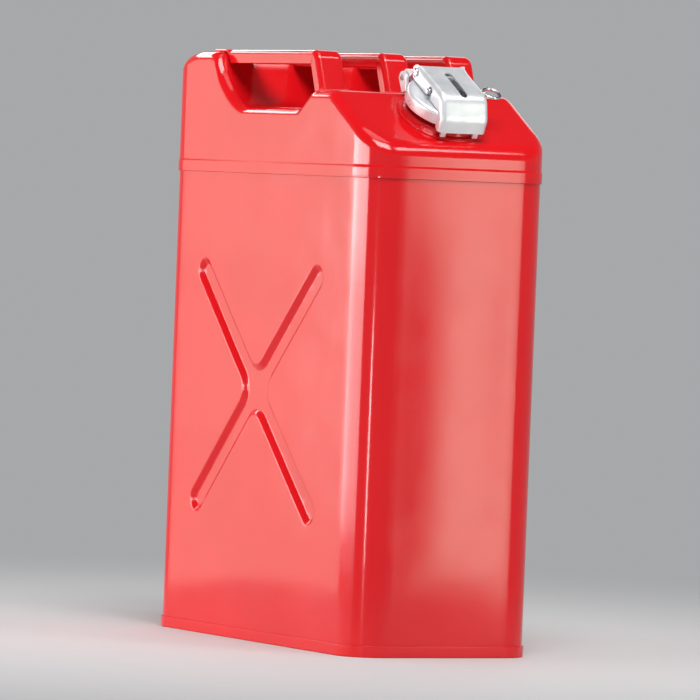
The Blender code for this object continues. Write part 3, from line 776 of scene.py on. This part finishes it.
def make_base_pan():
    """Raised base panel with its edge rolled up round the foot of the body."""
    lip_in = SLEEVE_INSET - GAP
    wall = SLEEVE_INSET + SHEET + GAP
    floor = SLEEVE_Z[0] - GAP
    round_r = 0.45 * MM
    section = [(wall + 9 * MM, PANEL_Z - 0.001 * MM, 0), (wall + 2.4 * MM, PANEL_Z, 1.6 * MM),
               (wall + SHEET, 0, 0.8 * MM), (0, 0, 1.1 * MM), (0, CHIME_H, round_r),
               (lip_in, CHIME_H, round_r), (lip_in, floor, 0), (wall, floor, 0),
               (wall, PANEL_Z + SHEET, 1.2 * MM), (wall + 9 * MM, PANEL_Z + SHEET, 0)]
    outline = rounded_polygon(section, steps=5)
    plan = Plan([CORNER_R + (DEPTH - 2 * CORNER_R) * step / 16 for step in range(1, 16)])
    bm = bmesh.new()
    rings = [[bm.verts.new((x, y, height)) for x, y in plan.ring(inset)] for inset, height in outline]
    for lower, upper in zip(rings, rings[1:]):
        strip(bm, lower, upper)
    plan.cap(bm, rings[0], lambda y: PANEL_Z, downwards=True)
    plan.cap(bm, rings[-1], lambda y: PANEL_Z + SHEET)
    even_shading(piece("base_pan_rolled", outward(bm), BASE_PAINT, "can", ["base_pan"]))


# ---- carrying bars

def bar_section(depth):
    """Inverted channel (x, depth below the top) with rounded shoulders."""
    half = BAR_WIDTH / 2
    radius = min(BAR_EDGE_R, depth * 0.62)
    wall = min(BAR_SHEET, depth * 0.9)
    inner_r = max(radius - wall, 0.25 * MM)
    quarter = arc(0, pi / 2, 7)
    outer = [(-half + 0.3 * MM, depth), (-half, depth - 0.3 * MM)]
    outer += [(-half + radius - radius * cos(angle), radius - radius * sin(angle))
              for angle in quarter]
    outer += [(-x, d) for x, d in reversed(outer)]
    edge = half - wall
    inner = [(edge - 0.2 * MM, depth)]
    inner += [(edge - inner_r + inner_r * cos(angle), wall + inner_r - inner_r * sin(angle))
              for angle in quarter]
    inner += [(-x, d) for x, d in reversed(inner)]
    return outer + inner


def bar_path():
    """Top line of a bar as (station, height, depth), from the hump to the foot on the bump."""
    top = HEIGHT
    tongue = top - HUMP_Z - GAP
    path = [(station, top, tongue) for station in
            (TONGUE_START, 60 * MM, 66 * MM, 72 * MM, TONGUE_END)]
    flare = 8
    for step in range(1, flare + 1):
        share = step / flare
        path.append((TONGUE_END + FLARE_LENGTH * share, top, tongue + (BAR_DEPTH - tongue) * share))
    path += [(station * MM, top, BAR_DEPTH) for station in (*range(95, 201, 15), 208)]
    foot = (FOOT_END, DIP_Z + (FOOT_END - DIP_END) * FOOT_SLOPE + 0.9 * MM)
    bend = rounded_polygon([(100 * MM, top, 0), (FOOT_START, top, 10 * MM), (*foot, 0)], steps=12)[1:-1]
    path += [(station, height, BAR_DEPTH) for station, height in bend]
    last = Vector(bend[-1])
    path += [(*last.lerp(Vector(foot), share), BAR_DEPTH) for share in (0.35, 0.7)]
    path.append((*foot, BAR_DEPTH))
    return path


def make_bar(name, node, middle_x):
    path = bar_path()
    foot_s, foot_z = path[-1][:2]
    leg = (Vector(path[-1][:2]) - Vector(path[-3][:2])).normalized()
    bm = bmesh.new()
    rows = []
    for index, (station, height, depth) in enumerate(path):
        before = Vector(path[max(index - 1, 0)][:2])
        after = Vector(path[min(index + 1, len(path) - 1)][:2])
        along = (after - before).normalized()
        down = Vector((along.y, -along.x))
        row = []
        for x, drop in bar_section(depth):
            spot = Vector((station, height)) + down * drop
            if index == len(path) - 1:
                fall = foot_z + (spot.x - foot_s) * FOOT_SLOPE - spot.y
                reach = fall / (leg.y - FOOT_SLOPE * leg.x)
                spot += leg * reach
            row.append(bm.verts.new((middle_x + x, DEPTH / 2 - spot.x, spot.y)))
        rows.append(row)
    even_shading(piece(name, tube(bm, rows), BAR_PAINT, "can", [node]))


def bead(name, route, radius, closed=False, seed=0.0):
    """Weld bead along a route of points: a thick wire whose radius ripples."""
    bm = bmesh.new()
    sides = 12
    rows = []
    count = len(route)
    for index, place in enumerate(route):
        before = route[index - 1] if closed or index else place
        after = route[(index + 1) % count] if closed or index < count - 1 else place
        along = (after - before).normalized()
        frame_z = Vector((0, 0, 1)) if abs(along.z) < 0.9 else Vector((0, 1, 0))
        side = along.cross(frame_z).normalized()
        up = side.cross(along).normalized()
        lumps = noise.noise(place * 330 + Vector((seed, 0, 0)))
        ripple = 1 + 0.09 * sin(index * 1.9 + seed) + 0.14 * lumps
        if not closed:
            ripple *= min(1, 0.45 + 0.25 * min(index, count - 1 - index))
        row = []
        for step in range(sides):
            angle = 2 * pi * step / sides
            spoke = side * cos(angle) + up * sin(angle)
            row.append(bm.verts.new(place + spoke * radius * ripple))
        rows.append(row)
    if closed:
        for first, second in zip(rows, rows[1:] + rows[:1]):
            strip(bm, first, second)
        outward(bm)
    else:
        tube(bm, rows)
    return piece(name, bm, WELD_PAINT, "can")


def line_points(first, second, step=1.3 * MM):
    count = max(2, round((second - first).length / step))
    return [first.lerp(second, index / count) for index in range(count + 1)]


def make_bar_welds(label, middle_x, seed):
    """Beads across the tongue on the hump and round the foot on the bump."""
    half = BAR_WIDTH / 2
    rear = DEPTH / 2 - TONGUE_START + 0.2 * MM
    deck = HUMP_Z + 0.2 * MM
    ends = [Vector((middle_x + x, rear, deck)) for x in (-half, half)]
    bead(f"{label}_rear_weld", line_points(*ends), 1.5 * MM, seed=seed)
    corners = []
    for station, x in ((230.5, -half), (239.6, -half), (239.6, half), (230.5, half)):
        height = DIP_Z + (station * MM - DIP_END) * FOOT_SLOPE + 0.5 * MM
        corners.append(Vector((middle_x + x, DEPTH / 2 - station * MM, height)))
    route = []
    for first, second in zip(corners, corners[1:]):
        route += line_points(first, second)[:-1]
    bead(f"{label}_foot_weld", route + [corners[-1]], 1.4 * MM, seed=seed + 2)


# ---- neck

def closure_piece(name, bm, material, body, node):
    """A piece made in the closure's frame that stands for one CAD node."""
    return piece(name, bm, material, body, [node], matrix=CLOSURE)


def turned_piece(name, profile, steps, material, body, node):
    """A closure piece turned about the neck's axis from an outline (radius, n)."""
    even_shading(closure_piece(name, turned(profile, steps), material, body, node))


def make_neck():
    foot = -14 * MM
    neck = rounded_polygon([
        (MOUTH_R, foot, 0.3 * MM), (NECK_R, foot, 0.3 * MM), (NECK_R, 10.6 * MM, 1.2 * MM),
        (LIP_R, 10.4 * MM, 1.3 * MM), (LIP_R, LIP_N, 1.5 * MM), (MOUTH_R, LIP_N, 1.6 * MM)], 6)
    turned_piece("filler_neck_rolled", neck, 96, TOP_PAINT, "can", "filler_neck")
    inner = NECK_R + 0.4 * MM
    collar = rounded_polygon([
        (inner, 0.35 * MM, 0), (COLLAR_R, 0.35 * MM, 0.3 * MM), (COLLAR_R - 0.2 * MM, 1.9 * MM, 0.7 * MM),
        (31.8 * MM, 1.9 * MM, 1.4 * MM), (30.4 * MM, 5.4 * MM, 1.3 * MM), (inner, 5.4 * MM, 0.3 * MM)], 6)
    turned_piece("neck_collar_pressed", collar, 96, TOP_PAINT, "can", "neck_collar")
    radius = COLLAR_R + 0.1 * MM
    ring = [CLOSURE @ Vector((*polar(0, 0, radius, angle), 0.35 * MM))
            for angle in arc(0, 2 * pi, 150)[:-1]]
    bead("collar_weld", ring, 1.0 * MM, closed=True, seed=5)


def make_hinge_ears():
    s, n = HINGE
    outline = rounded_polygon([
        (s - 5 * MM, n + 5 * MM, 4.6 * MM), (s - 5 * MM, n - 3 * MM, 2 * MM),
        *in_mm((-34, 2, 0.5), (-29, 5.8, 0.5), (-30.2, 8, 2)), (s + 5 * MM, n + 5 * MM, 4.6 * MM)])
    low = BRIDGE_HALF + 0.5 * MM
    for side, label in ((-1, "left"), (1, "right")):
        edges = sorted((side * low, side * (low + EAR_SHEET)))
        ear = closure_piece(f"hinge_ear_{label}_plate", prism(outline, *edges), ZINC, "can",
                            f"hinge_ear_{label}")
        cut(ear, rod(HOLE_R, -40 * MM, 40 * MM, "X", HINGE))
        soften(ear, 0.45 * MM)


def make_latch_lugs():
    outline = rounded_polygon(in_mm((29.6, 5.8, 0.4), (31.4, 2, 0.4), (32.6, 2, 0.3), (32.8, 8.4, 1.0),
                                    (30, 8.8, 1.1)))
    for side, label in ((-1, "left"), (1, "right")):
        edges = sorted((side * 12 * MM, side * 16.5 * MM))
        soften(closure_piece(f"latch_lug_{label}_hook", prism(outline, *edges), ZINC, "can",
                             f"latch_lug_{label}"), 0.3 * MM)


def make_pins():
    reach = BRIDGE_HALF + 0.5 * MM + EAR_SHEET + 1.6 * MM
    pin = rod(PIN_R, -reach, reach, "X", HINGE, edge=0.6 * MM)
    even_shading(closure_piece("hinge_pin_rod", pin, PIN_STEEL, "can", "hinge_pin"))
    reach = LEVER_HALF + 0.4 * MM
    head = 3.6 * MM
    end = reach + 1.5 * MM
    profile = rounded_polygon([
        (0, -end, 0), (head, -end, 1.0 * MM), (head, -reach, 0.2 * MM), (PIN_R, -reach, 0),
        (PIN_R, reach, 0), (head, reach, 0.2 * MM), (head, end, 1.0 * MM), (0, end, 0)], 5)
    rivet = laid_across(turned(profile, 48), LEVER_PIVOT)
    even_shading(closure_piece("lever_pin_rivet", rivet, PIN_STEEL, "lid", "lever_pin"))


def make_locking_pin():
    """Plain pin across the bridge with a pull ring on its right-hand end."""
    bm = rod(PIN_R, -24 * MM, 28.2 * MM, "X", LOCK, edge=0.7 * MM)
    ring_x, ring_r, wire_r = 34 * MM, 7.0 * MM, 1.4 * MM
    ring_bm = bmesh.new()
    around, minor = 72, 16
    rows = []
    for turn in range(around):
        place = 2 * pi * turn / around
        row = []
        for step in range(minor):
            angle = 2 * pi * step / minor
            reach = ring_r + wire_r * cos(angle)
            height = LOCK[1] + wire_r * sin(angle)
            row.append(ring_bm.verts.new((*polar(ring_x, -LOCK[0], reach, place), height)))
        rows.append(row)
    for turn in range(around):
        for step in range(minor):
            before, here = rows[turn - 1], rows[turn]
            ring_bm.faces.new((before[step - 1], here[step - 1], here[step], before[step]))
    pin = closure_piece("locking_pin_with_ring", bm, PIN_STEEL, "lock", "locking_pin")
    cut(pin, outward(ring_bm), "UNION")
    crease(pin.data)
    even_shading(pin)


def smooth_route(points, steps):
    """Points along a Catmull-Rom curve through the given points."""
    ends = [2 * points[0] - points[1], *points, 2 * points[-1] - points[-2]]
    smooth = []
    for a, b, c, d in zip(ends, ends[1:], ends[2:], ends[3:]):
        for step in range(steps):
            t = step / steps
            smooth.append(0.5 * (2 * b + (c - a) * t + (2 * a - 5 * b + 4 * c - d) * t ** 2
                                 + (3 * b - a - 3 * c + d) * t ** 3))
    return smooth + [points[-1]]


def make_breather_tube():
    """Air tube from inside the mouth, under the hand dip, up into the hump."""
    mouth = [CLOSURE @ Vector(point) for point in in_mm((0, 19, 9), (0, 19, -4), (0, 20, -14))]
    inside_can = [Vector((0, DEPTH / 2 - station, height)) for station, height in
                  in_mm((262, 412), (225, 410), (180, 411), (130, 412), (96, 417), (74, 430), (66, 448),
                        (64, 457))]
    route = smooth_route(mouth + inside_can, 8)
    bm = bmesh.new()
    side = Vector((1, 0, 0))
    rows = []
    for radius, order, flip in ((3.5 * MM, route, 1), (2.7 * MM, route[::-1], -1)):
        for index, place in enumerate(order):
            before, after = order[max(index - 1, 0)], order[min(index + 1, len(order) - 1)]
            up = side.cross((after - before).normalized()).normalized()
            rows.append([bm.verts.new(place + side * radius * cos(angle)
                                      + up * flip * radius * sin(angle))
                         for angle in arc(0, 2 * pi, 24)[:-1]])
    for index, row in enumerate(rows):
        strip(bm, rows[index - 1], row)
    even_shading(piece("breather_tube_drawn", outward(bm), TUBE_STEEL, "can",
                       ["breather_tube"]))


# ---- lid

def make_lid():
    under = LID_TOP_N - 1.3 * MM
    wall = LID_R - 1.2 * MM
    disc = rounded_polygon([
        *in_mm((2.7, 18.4, 0.2), (2.7, 17.1, 0.2), (14.8, 17.1, 1.6)), (16.6 * MM, under, 1.2 * MM),
        (wall, under, 1.8 * MM), (wall, 9.4 * MM, 0.3 * MM), (LID_R, 9.4 * MM, 0.45 * MM),
        (LID_R, LID_TOP_N, 3.0 * MM), (16 * MM, LID_TOP_N, 1.6 * MM), *in_mm((14, 18.4, 1.4))], 7)
    turned_piece("lid_disc_pressed", disc, 128, ZINC, "lid", "lid_disc")
    top = under - GAP
    low = LIP_N + GAP
    inner, outer = 22.5 * MM, 29.8 * MM
    seal = rounded_polygon([(inner, top, 0.3 * MM), (outer, top, 0.3 * MM), (outer, low, 1.2 * MM),
                            (inner, low, 1.2 * MM)], 5)
    turned_piece("lid_gasket_moulded", seal, 96, RUBBER, "lid", "lid_gasket")
    rivet = rounded_polygon(in_mm((0, 15.4, 0), (4.4, 15.4, 0.7), (4.4, 16.8, 0.2), (2.3, 16.8, 0),
                                  (2.3, 22.9, 0), (4.4, 22.9, 0.2), (4.2, 24.6, 1.2), (0, 24.6, 0)), 5)
    turned_piece("lid_rivet_headed", rivet, 48, PIN_STEEL, "lid", "lid_rivet")


def make_lid_bridge():
    """Strap over the lid, rolled round the hinge pin, with two upright ears for the pins."""
    low, high = LID_TOP_N + GAP, LID_TOP_N + 2.3 * MM
    s, n = HINGE
    knuckle = 4.6 * MM
    strap = rounded_polygon([
        (s - knuckle, n - knuckle, knuckle - 0.05 * MM), (s + knuckle, n - knuckle, 4.4 * MM),
        (s + knuckle, n + 2 * MM, 1 * MM), (-32.5 * MM, low, 2 * MM), (24 * MM, low, 0.3 * MM),
        (24 * MM, high, 0.5 * MM), (-34 * MM, high, 4 * MM), (s - knuckle, n + knuckle + 1 * MM, 4 * MM)])
    bm = prism(strap, -BRIDGE_HALF, BRIDGE_HALF)
    bridge = closure_piece("lid_bridge_folded", bm, ZINC, "lid", "lid_bridge")
    cut(bridge, rod(2.7 * MM, 15 * MM, 27 * MM, steps=48))
    pivot_s, pivot_n = LEVER_PIVOT
    lock_s, lock_n = LOCK
    boss = 4.2 * MM
    foot = low + 0.5 * MM
    ear = rounded_polygon([
        (pivot_s - boss, foot, 0), (lock_s + 5 * MM, foot, 0), (lock_s + 5 * MM, lock_n + 4.6 * MM, 4 * MM),
        (lock_s - 5 * MM, lock_n + 4.6 * MM, 3 * MM), (-10 * MM, high + 2 * MM, 3 * MM),
        (pivot_s + boss, pivot_n + boss, boss - 0.1 * MM),
        (pivot_s - boss, pivot_n + boss, boss - 0.1 * MM)])
    for side in (-1, 1):
        edges = sorted((side * (BRIDGE_HALF - EAR_SHEET), side * (BRIDGE_HALF + 0.02 * MM)))
        cut(bridge, prism(ear, *edges), "UNION")
    for place in (HINGE, LEVER_PIVOT, LOCK):
        cut(bridge, rod(HOLE_R, -30 * MM, 30 * MM, "X", place))
    soften(bridge, 0.35 * MM)


# ---- cam lever

def lever_lines():
    """Top line and lower edge of the lever's side as equal lists of (s, n), from the back of its boss."""
    s, n = LEVER_PIVOT
    boss = 6.1 * MM
    quarter = 10
    angles = arc(0, pi / 2, quarter)
    rise = [(s - boss * cos(angle), n + boss * sin(angle)) for angle in angles]
    top = rounded_polygon([(s, n + boss, 0), *in_mm((23, 34.6, 12), (34.9, 19.2, 10), (35.9, 7.8, 0))], 12)
    fall = [(s - boss * cos(angle), n - boss * sin(angle)) for angle in angles]
    foot = LID_TOP_N + 1.1 * MM
    under = rounded_polygon([(s, n - boss, 0), (26.8 * MM, foot, 3 * MM), (28.2 * MM, 8.8 * MM, 0)], 12)
    forward = 56
    return rise + even_points(top, forward)[1:], fall + even_points(under, forward)[1:], quarter


def even_points(line, count):
    """Points at equal distances along a line of (u, v) points."""
    points = [Vector(point) for point in line]
    lengths = [0.0]
    for before, after in zip(points, points[1:]):
        lengths.append(lengths[-1] + (after - before).length)
    even = []
    index = 0
    for step in range(count + 1):
        target = lengths[-1] * step / count
        while index < len(lengths) - 2 and lengths[index + 1] < target:
            index += 1
        span = lengths[index + 1] - lengths[index] or 1
        even.append(tuple(points[index].lerp(points[index + 1], (target - lengths[index]) / span)))
    return even


def make_cam_lever():
    """Pressed hood: two flanges, rounded shoulders and a web, open below and behind."""
    top, under, quarter = lever_lines()
    bm = bmesh.new()
    across, rungs = 10, 4
    sides = {-1: [], 1: []}
    shoulders = {-1: [], 1: []}
    for index, (s, n) in enumerate(top):
        before = Vector(top[max(index - 1, 0)])
        after = Vector(top[min(index + 1, len(top) - 1)])
        along = (after - before).normalized()
        down = Vector((along.y, -along.x))
        grow = min(1, max(0, index - quarter + 1) / 8)
        radius = SHOULDER_START + (LEVER_ROUND - SHOULDER_START) * grow * (2 - grow)
        for side in (-1, 1):
            edge = Vector((s, n))
            shoulder = []
            if index >= quarter:
                for angle in arc(0, pi / 2, 6)[1:]:
                    spot = edge + down * radius * (1 - sin(angle))
                    x = LEVER_HALF - radius * (1 - cos(angle))
                    shoulder.append(bm.verts.new((side * x, -spot.x, spot.y)))
                edge = edge + down * radius
            spots = [edge.lerp(Vector(under[index]), step / rungs) for step in range(rungs + 1)]
            column = [bm.verts.new((side * LEVER_HALF, -spot.x, spot.y)) for spot in spots]
            sides[side].append(column)
            shoulders[side].append([column[0], *shoulder])
    for side in (-1, 1):
        sheet(bm, sides[side], flip=side < 0)
        sheet(bm, [row[::-1] for row in shoulders[side][quarter:]], flip=side < 0)
    webs = []
    for left, right in zip(shoulders[-1][quarter:], shoulders[1][quarter:]):
        start, end = left[-1], right[-1]
        between = [bm.verts.new(start.co.lerp(end.co, step / across)) for step in range(1, across)]
        webs.append([start, *between, end])
    sheet(bm, webs, flip=True)
    bmesh.ops.remove_doubles(bm, verts=bm.verts, dist=1e-6)
    bmesh.ops.recalc_face_normals(bm, faces=bm.faces)
    middle = max(bm.faces, key=lambda face: face.calc_center_median().z)
    if middle.normal.z < 0:
        bmesh.ops.reverse_faces(bm, faces=bm.faces)
    lever = closure_piece("cam_lever_pressed", bm, LEVER_ZINC, "lever", "cam_lever")
    thicken(lever, LEVER_SHEET, even=False)
    cut(lever, rod(HOLE_R, -30 * MM, 30 * MM, "X", LEVER_PIVOT))
    lock_s, lock_n = LOCK
    half = PIN_R + 1.4 * MM
    notch = rounded_polygon([
        (lock_s - half, lock_n - 12 * MM, 0), (lock_s + half, lock_n - 12 * MM, 0),
        (lock_s + half, lock_n + half, half * 0.98), (lock_s - half, lock_n + half, half * 0.98)])
    cut(lever, prism(notch, -30 * MM, 30 * MM))
    cut(lever, oblong((-9 * MM, 20 * MM), 3.2 * MM, 25.5 * MM, 45 * MM))
    close_slivers(lever)
    soften(lever, 0.35 * MM, degrees=50)


def oblong(span, half_width, low, high):
    """Prism with round ends that stands out of the ramp and runs down it."""
    bm = bmesh.new()
    points = []
    steps = 14
    for centre, start in ((span[1], -pi), (span[0], 0)):
        for angle in arc(start, pi, steps):
            points.append(polar(0, -centre, half_width, angle))
    return tube(bm, [[bm.verts.new((x, y, height)) for x, y in points] for height in (low, high)])


# ---- studio

WARM = (0.94, 1.0, 0.84)
LENS_MM = 352
SENSOR_MM = 36
CAMERA_PLACE = Vector((-2.628, -4.794, 0.371))
CAMERA_AIM = Vector((0, 0, 0.233))
CAMERA_ROLL = radians(2.25)


def around(azimuth, distance, height):
    """A point at an azimuth round the can; 0 is in front of the closure and 90 to the right."""
    angle = radians(azimuth)
    return Vector((distance * sin(angle), -distance * cos(angle), height))


def softbox(name, place, size, radiance, aim=Vector((0, 0, 0.25)), tint=(1, 1, 1)):
    """A rectangular lamp of a given brightness that faces a point and isn't seen itself."""
    lamp = bpy.data.lights.new(name, "AREA")
    lamp.shape = "RECTANGLE"
    lamp.size, lamp.size_y = size
    lamp.energy = radiance * pi * size[0] * size[1]
    lamp.color = tint
    obj = linked(bpy.data.objects.new(name, lamp))
    obj.location = place
    obj.rotation_mode = "QUATERNION"
    obj.rotation_quaternion = (aim - place).to_track_quat("-Z", "Y")
    obj.visible_camera = False


def level_box(name, azimuth, distance, width, low, high, radiance, tint=(1, 1, 1)):
    """A softbox that stands upright and faces the can."""
    middle = (low + high) / 2
    place = around(azimuth, distance, middle)
    softbox(name, place, (width, high - low), radiance, Vector((0, 0, middle)), tint)


def front_panel(name, left, right, distance, radiance):
    """A softbox in front of the closure's side of the can, parallel to that narrow face."""
    place = Vector(((left + right) / 2, -distance, 0.3))
    softbox(name, place, (right - left, 0.6), radiance, place + Vector((0, 1, 0)), WARM)


def make_lights():
    """Boxes for the big face, strips for the corners, panels for the narrow face and lamps above."""
    side_boxes = ((0.0, 0.14, 1.26), (0.14, 0.30, 1.37), (0.30, 0.62, 1.50))
    for index, (low, high, radiance) in enumerate(side_boxes):
        level_box(f"side_box_{index}", -145.7, 0.74, 0.22, low, high, radiance, WARM)
    for index, azimuth in enumerate((-136, -120, -104, -88)):
        level_box(f"corner_strip_low_{index}", azimuth, 1.9, 0.56, 0.0, 0.28, 5.5)
        level_box(f"corner_strip_high_{index}", azimuth, 1.9, 0.56, 0.28, 0.52, 9.5)
    for index, left in enumerate((0.322, 0.336, 0.356, 0.380, 0.398)):
        front_panel(f"front_box_{index}", left, 0.51, 0.85 + 0.012 * index, 0.98)
    level_box("corner_line", -45, 1.7, 0.10, 0.0, 0.22, 20.0)
    softbox("rim_box", around(180, 2.0, 1.35), (1.6, 0.18), 8.0)
    softbox("fold_box", around(32, 1.6, 2.1), (0.7, 0.4), 9.0)
    softbox("key_box", around(-18, 1.5, 2.4), (1.3, 1.0), 12.0)
    softbox("top_box", Vector((0, -0.2, 2.4)), (1.0, 1.0), 1.9)
    softbox("back_box", around(140, 2.4, 1.4), (1.0, 1.4), 1.2)


def make_world():
    """A backdrop that is even near the horizon and darker overhead."""
    world = bpy.data.worlds.new("studio")
    world.use_nodes = True
    tree = world.node_tree
    background = tree.nodes["Background"]
    background.inputs["Color"].default_value = BACKDROP_COLOUR
    direction = tree.nodes.new("ShaderNodeSeparateXYZ")
    tree.links.new(tree.nodes.new("ShaderNodeTexCoord").outputs["Generated"], direction.inputs["Vector"])
    dimmed = spread(tree, direction.outputs["Z"], BACKDROP_STRENGTH, 0.10, 0.12, 0.65, "SMOOTHSTEP")
    tree.links.new(dimmed, background.inputs["Strength"])
    bpy.context.scene.world = world


def make_floor():
    bm = bmesh.new()
    bmesh.ops.create_circle(bm, cap_ends=True, segments=96, radius=28)
    floor = mesh_object("studio_floor", bm)
    floor.data.materials.append(PAPER)


def make_camera():
    """The photograph's viewing angle and distance, with a longer lens."""
    lens = bpy.data.cameras.new("camera")
    lens.lens = LENS_MM
    lens.sensor_width = SENSOR_MM
    lens.clip_end = 60
    camera = linked(bpy.data.objects.new("camera", lens))
    camera.location = CAMERA_PLACE
    camera.rotation_mode = "QUATERNION"
    toward = (CAMERA_AIM - CAMERA_PLACE).to_track_quat("-Z", "Y")
    camera.rotation_quaternion = toward @ Matrix.Rotation(CAMERA_ROLL, 3, "Z").to_quaternion()
    bpy.context.scene.camera = camera
    bpy.context.scene.view_settings.view_transform = "Standard"


# ---- build

def build():
    make_camera()
    make_world()
    make_floor()
    make_lights()
    make_top_shell()
    make_body()
    make_rear_seam()
    make_base_pan()
    for index, label in enumerate(("left", "middle", "right")):
        low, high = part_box(f"handle_{label}")
        middle_x = (low.x + high.x) / 2
        make_bar(f"carrying_bar_{label}", f"handle_{label}", middle_x)
        make_bar_welds(f"bar_{label}", middle_x, seed=1.7 * index)
    make_neck()
    make_hinge_ears()
    make_latch_lugs()
    make_pins()
    make_locking_pin()
    make_breather_tube()
    make_lid()
    make_lid_bridge()
    make_cam_lever()


build()

bpy.context.view_layer.update()
